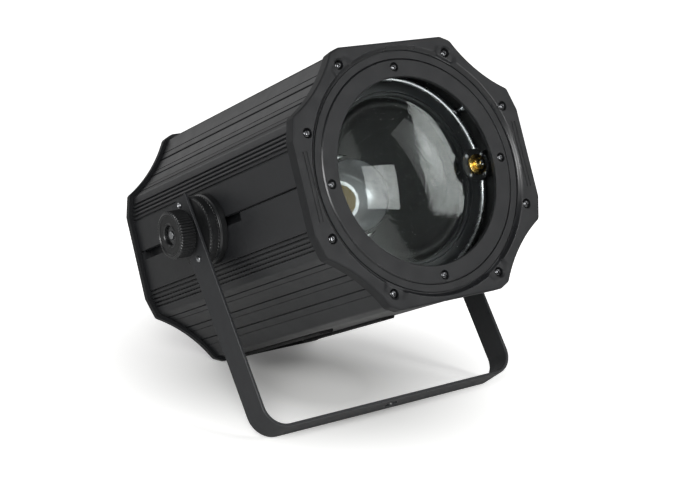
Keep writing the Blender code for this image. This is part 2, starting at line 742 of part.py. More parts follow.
def add_front_bezel(shop):
    body = plate("front_bezel", [outline()], BEZEL_REAR, LAND_LEVEL)
    bezel = shop.add("front_bezel", body, "moulding")
    edge = bezel.modifiers.new("edges", "BEVEL")
    edge.width = BEZEL_EDGE
    edge.segments = 2
    edge.limit_method = "ANGLE"
    edge.angle_limit = math.radians(60)
    collar = BARREL_OUTER + GAP + COLLAR_WALL
    pocket = plate("bezel_pocket", [outline(HOUSING_INSET - GAP), circle(collar)],
                   BEZEL_REAR - OVERCUT, -BEZEL_PLATE)
    socket = cylinder("barrel_socket", BARREL_OUTER + GAP, LEDGE_REAR, BEZEL_REAR - OVERCUT, INNER_ROUND)
    seat = [(0, OVERCUT), (RECESS_RADIUS, OVERCUT), (RECESS_RADIUS, BAND_LEVEL),
            (RING_OUTER + GAP, BAND_LEVEL), (RING_OUTER + GAP, RING_SEAT),
            (GLASS_RADIUS + GAP, RING_SEAT), (GLASS_RADIUS + GAP, LEDGE_FRONT),
            (LEDGE_INNER, LEDGE_FRONT), (LEDGE_INNER, BEZEL_REAR - OVERCUT), (0, BEZEL_REAR - OVERCUT)]
    bore = turned("bezel_bore", seat, ROUND)
    pads = []
    for x, y in [(sx * BEZEL_SCREWS[0][0], sy * BEZEL_SCREWS[0][1]) for sx in (-1, 1) for sy in (-1, 1)]:
        pads.append(Matrix.Rotation(math.atan2(y, x), 4, "Z"))
    length = PAD_OVERLAP + 3 * OVERCUT
    pad = box("pad_cut", (length, PAD_WIDTH, 2 * OVERCUT),
              (RECESS_RADIUS - PAD_OVERLAP + length / 2, 0, BAND_LEVEL + OVERCUT))
    cut(bezel, shop.tool("bezel_pocket", pocket), shop.tool("barrel_socket", socket),
        shop.tool("bezel_bore", bore), shop.tool("pad_cuts", group("pad_cuts", pad, pads)))
    places = [place for x, y in BEZEL_SCREWS for place in four_ways(x, y, bezel_seat(x, y))]
    holes = counterbores("bezel_counterbores", BEZEL_SCREW, places)
    ring_places = around(RING_SCREW_CIRCLE, 4)
    ring_holes = straight_screw_holes("ring_screw_holes", RING_SCREW[2] + SCREW_CLEARANCE, ring_places,
                                      0.0, BEZEL_REAR - OVERCUT)
    cut(bezel, shop.tool("bezel_counterbores", holes), shop.tool("ring_screw_holes", ring_holes))
    flute = box("flute", (FLUTE_WIDTH, FLUTE_LENGTH, 2 * FLUTE_DEPTH), (0, 0, LAND_LEVEL))
    places_of_flutes = [at(side * (HALF_WIDTH - offset), 0) for side in (-1, 1) for offset in FLUTE_OFFSETS]
    cut(bezel, shop.tool("flutes", group("flutes", flute, places_of_flutes)))


def add_lens_ring(shop):
    outer, inner, chamfer = RING_OUTER, RING_INNER, RING_CHAMFER
    profile = [(inner, -chamfer), (inner + chamfer, 0), (outer - chamfer, 0), (outer, -chamfer),
               (outer, -RING_THICKNESS), (inner, -RING_THICKNESS)]
    lens_ring = shop.add("lens_ring", turned("lens_ring", profile, ROUND, closed=True), "moulding")
    places = around(RING_SCREW_CIRCLE, 4, -RING_SCREW[1] - HEAD_SETBACK)
    cut(lens_ring, shop.tool("ring_counterbores", counterbores("ring_counterbores", RING_SCREW, places)))
    screw = turned("lens_ring_screw", screw_profile(RING_SCREW, RING_SCREW_LENGTH), TINY)
    for i, place in enumerate(places, 1):
        shop.add(f"lens_ring_screw_{i}", screw, "steel", place.translation)
    glass = cylinder("front_glass", GLASS_RADIUS, RING_SEAT, GLASS_REAR, ROUND)
    shop.add("front_glass", glass, "glass")
    gasket = ring("glass_gasket", GASKET_INNER, GLASS_RADIUS, GLASS_REAR - GAP, GASKET_REAR, ROUND)
    shop.add("glass_gasket", gasket, "rubber")


# Zoom optics

def rod_places():
    return around(ROD_CIRCLE, 2, first=ROD_ANGLE)


def add_barrel(shop):
    top, bottom = LEDGE_REAR - GAP, BULKHEAD_FRONT + GAP
    barrel = ring("barrel", BARREL_INNER, BARREL_OUTER, top, bottom, INNER_ROUND)
    barrel = shop.add("barrel", barrel, "moulding")
    window = box("barrel_window", (0.03, WINDOW_HEIGHT, WINDOW_FRONT - WINDOW_REAR),
                 (BARREL_INNER, 0, (WINDOW_FRONT + WINDOW_REAR) / 2))
    cut(barrel, shop.tool("barrel_window", window))
    rod = cylinder("guide_rod", ROD_RADIUS, top, bottom, SMALL)
    for i, place in enumerate(rod_places(), 1):
        shop.add(f"guide_rod_{i}", rod, "steel", place.translation)


def add_carriage(shop):
    front, rear = CARRIAGE_FRONT, CARRIAGE_FRONT - CARRIAGE_DEPTH
    seat = LENS_FRONT_EDGE - LENS_EDGE - GAP
    profile = [(LENS_RADIUS + GAP, front), (CARRIAGE_RADIUS, front), (CARRIAGE_RADIUS, rear),
               (CARRIAGE_BORE, rear), (CARRIAGE_BORE, seat), (LENS_RADIUS + GAP, seat)]
    carriage = shop.add("lens_carriage", turned("lens_carriage", profile, INNER_ROUND, closed=True), "moulding")
    ear_rear = front + EAR_STANDOFF
    ear = cylinder("nut_ear", EAR_RADIUS, ear_rear + EAR_THICKNESS, ear_rear, 24)
    post_inner = LENS_RADIUS + 2 * GAP
    post = box("nut_post", (CARRIAGE_RADIUS - 2 * GAP - post_inner, NUT_POST_WIDTH, 2 * EAR_STANDOFF + 2 * OVERLAP),
               ((CARRIAGE_RADIUS - 2 * GAP + post_inner) / 2, 0, front + OVERLAP))
    reach = BARREL_INNER - ROD_EAR_CLEARANCE - ROD_CIRCLE
    rod_ear = box("rod_ear", (reach + ROD_EAR_LENGTH, ROD_EAR_WIDTH, ROD_EAR_DEPTH),
                  (ROD_CIRCLE + (reach - ROD_EAR_LENGTH) / 2, 0, rear + ROD_EAR_DEPTH / 2 + OVERLAP))
    ears = [Matrix.Rotation(math.radians(ROD_ANGLE + turn), 4, "Z") for turn in (0, 180)]
    join(carriage, shop.tool("nut_ear", ear, (SCREW_AXIS, 0, 0)), shop.tool("nut_post", post),
         shop.tool("rod_ears", group("rod_ears", rod_ear, ears)))
    bores = straight_screw_holes("rod_bores", ROD_RADIUS + RUNNING_GAP, rod_places(), 0, rear - OVERCUT)
    passage = SCREW_RADIUS + 2 * RUNNING_GAP
    nut_bore = turned("nut_bore", [(0, 0), (NUT_RADIUS + GAP, 0), (NUT_RADIUS + GAP, ear_rear),
                                   (passage, ear_rear), (passage, rear - OVERCUT), (0, rear - OVERCUT)], 16)
    cut(carriage, shop.tool("rod_bores", bores), shop.tool("nut_bore", nut_bore, (SCREW_AXIS, 0, 0)))
    add_lens(shop)
    add_nut(shop)


def add_lens(shop):
    steps = 4
    bulge_radius = (LENS_RADIUS ** 2 + LENS_BULGE ** 2) / (2 * LENS_BULGE)
    reach = math.asin(LENS_RADIUS / bulge_radius)
    apex = LENS_FRONT_EDGE + LENS_BULGE
    profile = []
    for i in range(steps + 1):
        angle = reach * i / steps
        profile.append((bulge_radius * math.sin(angle), apex - bulge_radius * (1 - math.cos(angle))))
    rear = LENS_FRONT_EDGE - LENS_EDGE
    profile += [(LENS_RADIUS, rear), (0, rear)]
    shop.add("zoom_lens", turned("zoom_lens", profile, INNER_ROUND), "glass")
    sag = bulge_radius - math.sqrt(bulge_radius ** 2 - RETAINER_INNER ** 2)
    bottom_outer = LENS_FRONT_EDGE + GAP
    bottom_inner = apex - sag + GAP
    top = bottom_outer + RETAINER_THICKNESS
    retainer = turned("lens_retainer", [(RETAINER_INNER, top), (LENS_RADIUS, top),
                                        (LENS_RADIUS, bottom_outer), (RETAINER_INNER, bottom_inner)],
                      INNER_ROUND, closed=True)
    shop.add("lens_retainer", retainer, "moulding")


def add_nut(shop):
    flange = EAR_FRONT + GAP
    bore = SCREW_RADIUS + RUNNING_GAP
    profile = [(bore, flange + NUT_FLANGE + NUT_FRONT), (NUT_RADIUS, flange + NUT_FLANGE + NUT_FRONT),
               (NUT_RADIUS, flange + NUT_FLANGE), (NUT_FLANGE_RADIUS, flange + NUT_FLANGE),
               (NUT_FLANGE_RADIUS, flange), (NUT_RADIUS, flange),
               (NUT_RADIUS, EAR_FRONT - EAR_THICKNESS + NUT_SETBACK),
               (bore, EAR_FRONT - EAR_THICKNESS + NUT_SETBACK)]
    shop.add("drive_nut", turned("drive_nut", profile, 16, closed=True), "brass", (SCREW_AXIS, 0, 0))


def add_drive(shop):
    rear = BULKHEAD_REAR - GAP - MOTOR_BORE_DEPTH + 2 * GAP
    lead = cylinder("lead_screw", SCREW_RADIUS, SCREW_FRONT, rear, 16)
    shop.add("lead_screw", lead, "steel", (SCREW_AXIS, 0, 0))
    motor = box("zoom_motor", (MOTOR_WIDTH, MOTOR_WIDTH, MOTOR_DEPTH),
                (0, 0, BULKHEAD_REAR - GAP - MOTOR_DEPTH / 2), MOTOR_EDGE)
    motor = shop.add("zoom_motor", motor, "steel", (SCREW_AXIS, 0, 0))
    bore = cylinder("motor_bore", SCREW_RADIUS + RUNNING_GAP, 0, BULKHEAD_REAR - GAP - MOTOR_BORE_DEPTH, 16)
    cut(motor, shop.tool("motor_bore", bore, (SCREW_AXIS, 0, 0)))


# Lamp and cooling

def add_bulkhead(shop):
    edge = outline(HOUSING_INSET + HOUSING_WALL + GAP)
    body = plate("bulkhead", [edge, circle(LAMP_HOLE, 24)], BULKHEAD_REAR, BULKHEAD_FRONT)
    bulkhead = shop.add("bulkhead", body, "shell")
    notch = cylinder("boss_notch", BOSS_RADIUS + GAP, 0, -BODY_DEPTH, SMALL)
    notches = group("boss_notches", notch, [place for x, y in BEZEL_SCREWS for place in four_ways(x, y)])
    passage = cylinder("screw_passage", SCREW_RADIUS + 2 * RUNNING_GAP, 0, -BODY_DEPTH, 16)
    cut(bulkhead, shop.tool("boss_notches", notches), shop.tool("screw_passage", passage, (SCREW_AXIS, 0, 0)))


def add_lamp(shop):
    rear = SINK_FRONT + GAP
    chip = box("led_module", (LED_WIDTH, LED_WIDTH, LED_THICKNESS), (0, 0, rear + LED_THICKNESS / 2))
    shop.add("led_module", chip, "aluminium")
    front = rear + LED_THICKNESS + GAP
    emitter = cylinder("led_emitter", EMITTER_RADIUS, front + EMITTER_THICKNESS, front, 20)
    shop.add("led_emitter", emitter, "emitter")
    inner_throat = REFLECTOR_THROAT - REFLECTOR_WALL
    profile = [(REFLECTOR_MOUTH - REFLECTOR_WALL, REFLECTOR_FRONT), (REFLECTOR_MOUTH, REFLECTOR_FRONT),
               (REFLECTOR_THROAT, front), (inner_throat, front)]
    shop.add("reflector", turned("reflector", profile, 24, closed=True), "aluminium")


def add_heat_sink(shop):
    pitch = (SINK_WIDTH - FIN_THICKNESS) / (FINS - 1)
    half = SINK_WIDTH / 2
    comb = [(half, 0), (half, SINK_DEPTH)]
    for i in range(FINS - 1, 0, -1):
        right = -half + i * pitch
        comb += [(right, SINK_DEPTH), (right, SINK_BASE), (right - pitch + FIN_THICKNESS, SINK_BASE),
                 (right - pitch + FIN_THICKNESS, SINK_DEPTH)]
    comb += [(-half, SINK_DEPTH), (-half, 0)]
    mesh = plate("heat_sink", [comb], -SINK_HEIGHT / 2, SINK_HEIGHT / 2)
    shop.add("heat_sink", mesh, "aluminium", (0, 0, SINK_FRONT), (-math.pi / 2, 0, 0))


def add_fan(shop):
    front, rear = PANEL_FRONT + GAP + FAN_DEPTH, PANEL_FRONT + GAP
    half = FAN_WIDTH / 2
    square = [(half, half), (-half, half), (-half, -half), (half, -half)]
    frame = plate("fan_frame", [square, circle(FAN_BORE, MIDDLE)], rear, front)
    frame = shop.add("fan_frame", frame, "moulding", (0, FAN_HEIGHT, 0))
    plate_rear = rear + FAN_SETBACK
    hub = ring("fan_hub", SPINDLE_RADIUS + RUNNING_GAP, FAN_HUB, plate_rear + FAN_PLATE, plate_rear, 16)
    bars = [Matrix.Rotation(math.radians(turn), 4, "Z") for turn in (45, 135, 225, 315)]
    strut_inner, strut_outer = FAN_HUB - FAN_PLATE, FAN_BORE + 2 * OVERLAP
    strut = box("fan_strut", (strut_outer - strut_inner, FAN_STRUT_WIDTH, FAN_STRUT_THICKNESS),
                ((strut_outer + strut_inner) / 2, 0, plate_rear + FAN_PLATE / 2))
    join(frame, shop.tool("fan_hub", hub, (0, FAN_HEIGHT, 0)),
         shop.tool("fan_struts", group("fan_struts", strut, bars), (0, FAN_HEIGHT, 0)))
    rotor_front, rotor_rear = front - 2 * FAN_SETBACK, plate_rear + FAN_PLATE + GAP
    profile = [(0, rotor_front), (FAN_HUB - FAN_HUB_EDGE, rotor_front), (FAN_HUB, rotor_front - FAN_HUB_EDGE),
               (FAN_HUB, rotor_rear), (SPINDLE_RADIUS, rotor_rear), (SPINDLE_RADIUS, plate_rear),
               (0, plate_rear)]
    rotor = turned("fan_rotor", profile, 20)
    rotor = shop.add("fan_rotor", rotor, "moulding", (0, FAN_HEIGHT, 0))
    blade_inner = FAN_HUB - 3 * OVERLAP
    blade_outer = FAN_BORE - FAN_TIP_CLEARANCE
    blade = box("fan_blade", (blade_outer - blade_inner, BLADE_CHORD, BLADE_THICKNESS))
    tilt = Matrix.Rotation(math.radians(BLADE_PITCH), 4, "X")
    middle = (front + rotor_rear) / 2
    blades = [Matrix.Rotation(2 * math.pi * i / FAN_BLADES, 4, "Z")
              @ at((blade_inner + blade_outer) / 2, 0, middle) @ tilt for i in range(FAN_BLADES)]
    join(rotor, shop.tool("fan_blades", group("fan_blades", blade, blades), (0, FAN_HEIGHT, 0)))


def add_guard(shop):
    top = PANEL_REAR - GAP
    bottom = top - GUARD_THICKNESS
    radii = [GUARD_RADIUS - i * GUARD_PITCH for i in range(GUARD_RINGS)]
    rings = [ring(f"guard_ring_{i}", radius - GUARD_BAR, radius, top, bottom, 20)
             for i, radius in enumerate(radii)]
    bm = bmesh.new()
    for mesh in rings:
        bm.from_mesh(mesh)
        bpy.data.meshes.remove(mesh)
    guard = shop.add("fan_guard", finish_mesh(bm, "fan_guard"), "steel", (0, FAN_HEIGHT, 0))
    reach, half = GUARD_RADIUS - GUARD_BAR / 2, GUARD_BAR / 2
    cross = [(reach, half), (half, half), (half, reach), (-half, reach), (-half, half), (-reach, half),
             (-reach, -half), (-half, -half), (-half, -reach), (half, -reach), (half, -half), (reach, -half)]
    spokes = plate("guard_spokes", [cross], bottom + SPOKE_SETBACK, top - SPOKE_SETBACK)
    spokes.transform(Matrix.Rotation(math.radians(45), 4, "Z"))
    join(guard, shop.tool("guard_spokes", spokes, (0, FAN_HEIGHT, 0)))


# Rear bezel, panel, controls and sockets

def add_rear_bezel(shop):
    rear = -BODY_DEPTH
    front = rear + REAR_BEZEL_DEPTH
    bezel = shop.add("rear_bezel", plate("rear_bezel", [outline()], rear, front), "moulding")
    edge = bezel.modifiers.new("edges", "BEVEL")
    edge.width = BEZEL_EDGE
    edge.segments = 2
    edge.limit_method = "ANGLE"
    edge.angle_limit = math.radians(60)
    pocket = plate("rear_pocket", [outline(HOUSING_INSET - GAP)], REAR_FLOOR, front + OVERCUT)
    opening = plate("rear_opening", [outline(REAR_OPENING_INSET)], rear - OVERCUT, front + OVERCUT)
    seat = rear + BEZEL_SCREW[1] - REAR_HEAD_PROUD
    places = [place for x, y in BEZEL_SCREWS for place in four_ways(x, y, seat)]
    holes = counterbores("rear_counterbores", BEZEL_SCREW, places, turned_over=True)
    cut(bezel, shop.tool("rear_pocket", pocket), shop.tool("rear_opening", opening),
        shop.tool("rear_counterbores", holes))


def button_places():
    return [(BUTTON_FIRST + i * BUTTON_PITCH, CONTROLS_HEIGHT) for i in range(BUTTONS)]


def socket_places():
    first = -SOCKET_PITCH * 1.5
    return [(first + i * SOCKET_PITCH, SOCKETS_HEIGHT) for i in range(4)]


def add_panel(shop):
    edge = outline(HOUSING_INSET + GAP)
    holes = [circle(FAN_BORE, MIDDLE, (0, FAN_HEIGHT))]
    half_width = DISPLAY_WIDTH / 2 + GAP
    half_height = DISPLAY_HEIGHT / 2 + GAP
    holes.append([(DISPLAY_CENTRE + sx * half_width, CONTROLS_HEIGHT + sy * half_height)
                  for sx, sy in ((-1, -1), (1, -1), (1, 1), (-1, 1))])
    holes += [circle(BUTTON_RADIUS + GAP, TINY, place) for place in button_places()]
    holes += [circle(SOCKET_BODY_RADIUS + GAP, 16, place) for place in socket_places()]
    holes.append(circle(FUSE_BODY_RADIUS + GAP, 12, (FUSE_CENTRE, CONTROLS_HEIGHT)))
    radius = BEZEL_SCREW[2] + SCREW_CLEARANCE
    holes += [circle(radius, TINY, (sx * x, sy * y)) for x, y in BEZEL_SCREWS
              for sx in (-1, 1) for sy in (-1, 1)]
    shop.add("rear_panel", plate("rear_panel", [edge, *holes], PANEL_REAR, PANEL_FRONT), "shell")


def add_controls(shop):
    board_rear = PANEL_FRONT + BOARD_STANDOFF
    board = box("control_board", (BOARD_WIDTH, BOARD_HEIGHT, BOARD_THICKNESS),
                (0, CONTROLS_HEIGHT, board_rear + BOARD_THICKNESS / 2))
    board = shop.add("control_board", board, "board")
    standoff = cylinder("standoff", STANDOFF_RADIUS, board_rear + OVERLAP, PANEL_FRONT + GAP, SMALL)
    corners = [at(sx * (BOARD_WIDTH / 2 - STANDOFF_INSET), CONTROLS_HEIGHT + sy * (BOARD_HEIGHT / 2 - STANDOFF_INSET))
               for sx in (-1, 1) for sy in (-1, 1)]
    join(board, shop.tool("standoffs", group("standoffs", standoff, corners)))
    front, rear = board_rear - GAP, PANEL_REAR - DISPLAY_PROUD
    display = box("display", (DISPLAY_WIDTH, DISPLAY_HEIGHT, front - rear),
                  (DISPLAY_CENTRE, CONTROLS_HEIGHT, (front + rear) / 2))
    shop.add("display", display, "glass")
    for i, (x, y) in enumerate(button_places(), 1):
        add_button(shop, f"menu_button_{i}", (x, y, 0), board_rear)


def add_button(shop, name, place, board_rear):
    """A cap through the panel, kept in by its flange, with its travel left before the board."""
    inner = board_rear - BUTTON_TRAVEL - GAP
    outer = PANEL_REAR - BUTTON_PROUD
    flange = PANEL_FRONT + GAP
    profile = [(0, inner), (BUTTON_RADIUS, inner), (BUTTON_RADIUS, flange + BUTTON_FLANGE_THICKNESS),
               (BUTTON_FLANGE, flange + BUTTON_FLANGE_THICKNESS), (BUTTON_FLANGE, flange),
               (BUTTON_RADIUS, flange), (BUTTON_RADIUS, outer + BUTTON_EDGE), (BUTTON_RADIUS - BUTTON_EDGE, outer),
               (0, outer)]
    shop.add(name, turned(name, profile, TINY), "rubber", place)


def add_socket(shop, name, place, look, cavity, core, pins=False, holes=False):
    """A chassis socket: a square flange on the panel, its body through it and a round cavity."""
    top, rear = PANEL_REAR - GAP, PANEL_REAR - GAP - SOCKET_FLANGE
    flange = box(name, (SOCKET_WIDTH, SOCKET_HEIGHT, SOCKET_FLANGE), (0, 0, (top + rear) / 2))
    socket = shop.add(name, flange, look, (*place, 0))
    body = cylinder(f"{name}_body", SOCKET_BODY_RADIUS, PANEL_FRONT + SOCKET_BODY_DEPTH, rear + OVERLAP, 16)
    join(socket, shop.tool(f"{name}_body", body, (*place, 0)))
    floor = rear + SOCKET_CAVITY_DEPTH
    if core:
        hollow = ring(f"{name}_hollow", core, cavity, floor, rear - OVERCUT, 16)
    else:
        hollow = cylinder(f"{name}_hollow", cavity, floor, rear - OVERCUT, 16)
    cut(socket, shop.tool(f"{name}_hollow", hollow, (*place, 0)))
    contact_places = around(PIN_CIRCLE, 3, first=90)
    if pins:
        pin = cylinder(f"{name}_pin", PIN_RADIUS, floor + 2 * OVERLAP, rear + PIN_SETBACK, 8)
        join(socket, shop.tool(f"{name}_pins", group(f"{name}_pins", pin, contact_places), (*place, 0)))
    if holes:
        hole = cylinder(f"{name}_hole", PIN_RADIUS + GAP, floor, rear - OVERCUT, 8)
        cut(socket, shop.tool(f"{name}_holes", group(f"{name}_holes", hole, contact_places), (*place, 0)))
    return socket


def add_sockets(shop):
    power_in, power_out, signal_in, signal_out = socket_places()
    add_socket(shop, "power_inlet", power_in, "blue", POWER_CAVITY_RADIUS, POWER_PILLAR_RADIUS)
    add_socket(shop, "power_outlet", power_out, "grey", POWER_CAVITY_RADIUS, POWER_PILLAR_RADIUS)
    add_socket(shop, "dmx_inlet", signal_in, "moulding", SIGNAL_CAVITY_RADIUS, 0, pins=True)
    outlet = add_socket(shop, "dmx_outlet", signal_out, "moulding", SIGNAL_CAVITY_RADIUS,
                        SIGNAL_INSERT_RADIUS, holes=True)
    rear = PANEL_REAR - GAP - SOCKET_FLANGE
    x, y = signal_out
    slot = box("latch_slot", (LATCH_WIDTH + 2 * GAP, LATCH_HEIGHT + 2 * GAP, 2 * LATCH_SLOT_DEPTH),
               (x, y + LATCH_CENTRE, rear))
    cut(outlet, shop.tool("latch_slot", slot))
    height = LATCH_DEPTH + LATCH_PROUD
    latch = box("dmx_latch", (LATCH_WIDTH, LATCH_HEIGHT, height),
                (x, y + LATCH_CENTRE, rear + LATCH_DEPTH - height / 2), LATCH_EDGE)
    shop.add("dmx_latch", latch, "steel")


def add_fuse(shop):
    place = (FUSE_CENTRE, CONTROLS_HEIGHT, 0)
    top = PANEL_REAR - GAP
    rear = top - FUSE_FLANGE
    front, floor = PANEL_FRONT + FUSE_BODY_DEPTH, rear + FUSE_BORE_DEPTH
    profile = [(0, front), (FUSE_BODY_RADIUS, front), (FUSE_BODY_RADIUS, top), (FUSE_FLANGE_RADIUS, top),
               (FUSE_FLANGE_RADIUS, rear), (FUSE_BORE, rear), (FUSE_BORE, floor), (0, floor)]
    shop.add("fuse_base", turned("fuse_base", profile, 12), "moulding", place)
    cap_top, shank = rear - GAP, FUSE_BORE - GAP
    tip, face = floor - FUSE_CAP_CLEARANCE, cap_top - FUSE_CAP_HEIGHT
    profile = [(0, tip), (shank, tip), (shank, cap_top), (FUSE_CAP_RADIUS, cap_top),
               (FUSE_CAP_RADIUS, face + FUSE_CAP_EDGE), (FUSE_CAP_RADIUS - FUSE_CAP_EDGE, face), (0, face)]
    cap = shop.add("fuse_cap", turned("fuse_cap", profile, 12), "moulding", place)
    length, width, depth = FUSE_SLOT
    slot = box("fuse_slot", (length, width, 2 * depth), (0, 0, face))
    cut(cap, shop.tool("fuse_slot", slot, place))


def add_safety_eye(shop):
    """A bent steel wire on a small plate, for the safety cable."""
    x, y = EYE_POSITION
    top = PANEL_REAR - GAP
    bottom = top - EYE_BASE[2]
    base = box("safety_eye", EYE_BASE, (x, y, (top + bottom) / 2))
    eye = shop.add("safety_eye", base, "steel")
    curve = bpy.data.curves.new("eye_wire", "CURVE")
    curve.dimensions = "3D"
    curve.bevel_depth = EYE_WIRE
    curve.bevel_resolution = 2
    curve.use_fill_caps = True
    spline = curve.splines.new("POLY")
    steps = 10
    points = [(x, y - EYE_HALF_SPAN, bottom + OVERLAP)]
    bend = bottom - EYE_REACH + EYE_HALF_SPAN
    for i in range(steps + 1):
        angle = math.pi * i / steps
        points.append((x, y - EYE_HALF_SPAN * math.cos(angle), bend - EYE_HALF_SPAN * math.sin(angle)))
    points.append((x, y + EYE_HALF_SPAN, bottom + OVERLAP))
    spline.points.add(len(points) - 1)
    for point, place in zip(spline.points, points):
        point.co = (*place, 1)
    wire = bpy.data.objects.new("eye_wire", curve)
    bpy.context.scene.collection.objects.link(wire)
    join(eye, shop.tool("eye_wire", evaluated_mesh(wire, "eye_wire")))


def add_supply(shop):
    width, height, depth = SUPPLY_SIZE
    floor = -(HALF_HEIGHT - HOUSING_INSET - HOUSING_WALL) + GAP
    supply = box("power_supply", SUPPLY_SIZE, (0, floor + height / 2, SUPPLY_REAR + depth / 2), SUPPLY_EDGE)
    shop.add("power_supply", supply, "aluminium")


# Pivots and yoke: their own axis is Z, outwards from the body

def side_turn(side):
    return (0, side * math.pi / 2, 0)


def add_slide_parts(shop):
    for word, side in SIDES.items():
        turn = side_turn(side)
        disc = ring(f"slide_disc_{word}", BOLT_RADIUS + GAP, SLIDE_DISC_RADIUS, SLIDE_DISC_OUTER,
                    OUTER_SIDE + GAP, MIDDLE)
        shop.add(f"slide_disc_{word}", disc, "moulding", rotation=turn)
        head_top = OUTER_SIDE - HOUSING_WALL - GAP
        bolt = cylinder(f"pivot_bolt_{word}", BOLT_RADIUS, KNOB_FACE - BOLT_SETBACK, head_top - OVERLAP, 16)
        bolt = shop.add(f"pivot_bolt_{word}", bolt, "steel", rotation=turn)
        head = box(f"bolt_head_{word}", (BOLT_HEAD_WIDTH, BOLT_HEAD_HEIGHT, BOLT_HEAD),
                   (0, 0, head_top - BOLT_HEAD / 2))
        join(bolt, shop.tool(f"bolt_head_{word}", head, rotation=turn))


def yoke_outline():
    """The bent strip seen along its width: down the left leg, along the bar and up the right leg."""
    half, bend = YOKE_HALF_WIDTH, YOKE_BEND
    top = YOKE_HEAD_RADIUS + OVERCUT / 5
    quarter_turn = [math.radians(90) * i / BEND_STEPS for i in range(BEND_STEPS + 1)]
    outer = [(-half, top)]
    outer += [(-half + bend - bend * math.cos(a), -YOKE_LENGTH + bend - bend * math.sin(a))
              for a in quarter_turn]
    inner_bend, inner = bend - YOKE_THICKNESS, half - YOKE_THICKNESS
    bar = -YOKE_LENGTH + YOKE_THICKNESS
    inside = [(-inner, top)]
    inside += [(-inner + inner_bend - inner_bend * math.cos(a), bar + inner_bend - inner_bend * math.sin(a))
               for a in quarter_turn]
    outer += [(-x, y) for x, y in reversed(outer)]
    inside += [(-x, y) for x, y in reversed(inside)]
    return outer + list(reversed(inside))


def add_yoke(shop):
    yoke = shop.add("yoke", plate("yoke", [yoke_outline()], -YOKE_STRIP / 2, YOKE_STRIP / 2), "shell")
    edge = yoke.modifiers.new("edges", "BEVEL")
    edge.width = YOKE_EDGE
    edge.segments = 1
    edge.limit_method = "ANGLE"
    edge.angle_limit = math.radians(60)
    through = YOKE_HALF_WIDTH + OVERCUT
    outside = YOKE_STRIP / 2 + OVERCUT / 5
    reach = math.asin(outside / YOKE_HEAD_RADIUS)
    steps = 8
    arc = [(YOKE_HEAD_RADIUS * math.sin(-reach + 2 * reach * i / steps),
            YOKE_HEAD_RADIUS * math.cos(-reach + 2 * reach * i / steps)) for i in range(steps + 1)]
    above = [(outside, YOKE_HEAD_RADIUS + OVERCUT), (-outside, YOKE_HEAD_RADIUS + OVERCUT)]
    rounding = plate("head_rounding", [arc + above], -through, through)
    cut(yoke, shop.tool("head_rounding", rounding, rotation=(math.pi / 2, 0, -math.pi / 2)))
    pivot_hole = cylinder("pivot_hole", BOLT_RADIUS + YOKE_HOLE_CLEARANCE, through, -through, 20)
    disc_holes = straight_screw_holes("disc_screw_holes", DISC_SCREW_RADIUS + SCREW_CLEARANCE,
                                      [at(0, DISC_SCREW_OFFSET), at(0, -DISC_SCREW_OFFSET)], through, -through)
    bar_hole = cylinder("bar_hole", YOKE_BAR_HOLE, YOKE_LENGTH + OVERCUT, YOKE_LENGTH - OVERCUT, 24)
    across = side_turn(1)
    cut(yoke, shop.tool("pivot_hole", pivot_hole, rotation=across),
        shop.tool("disc_screw_holes", disc_holes, rotation=across),
        shop.tool("bar_hole", bar_hole, rotation=(math.pi / 2, 0, 0)))


def add_yoke_parts(shop):
    screw_places = [at(0, DISC_SCREW_OFFSET), at(0, -DISC_SCREW_OFFSET)]
    for word, side in SIDES.items():
        turn = side_turn(side)
        outer, chamfer = YOKE_INNER - GAP, YOKE_DISC_CHAMFER
        profile = [(BOLT_RADIUS + GAP, outer), (YOKE_DISC_RADIUS - chamfer, outer),
                   (YOKE_DISC_RADIUS, outer - chamfer), (YOKE_DISC_RADIUS, YOKE_DISC_INNER),
                   (BOLT_RADIUS + GAP, YOKE_DISC_INNER)]
        disc = turned(f"yoke_disc_{word}", profile, MIDDLE, closed=True)
        disc = shop.add(f"yoke_disc_{word}", disc, "moulding", rotation=turn)
        holes = straight_screw_holes(f"disc_{word}_holes", DISC_SCREW_RADIUS + SCREW_CLEARANCE, screw_places,
                                     YOKE_HALF_WIDTH, YOKE_DISC_INNER - OVERCUT)
        cut(disc, shop.tool(f"disc_{word}_holes", holes, rotation=turn))
        washer = ring(f"pivot_washer_{word}", BOLT_RADIUS + GAP, WASHER_RADIUS,
                      WASHER_INNER + WASHER_THICKNESS, WASHER_INNER, 16)
        shop.add(f"pivot_washer_{word}", washer, "steel", rotation=turn)


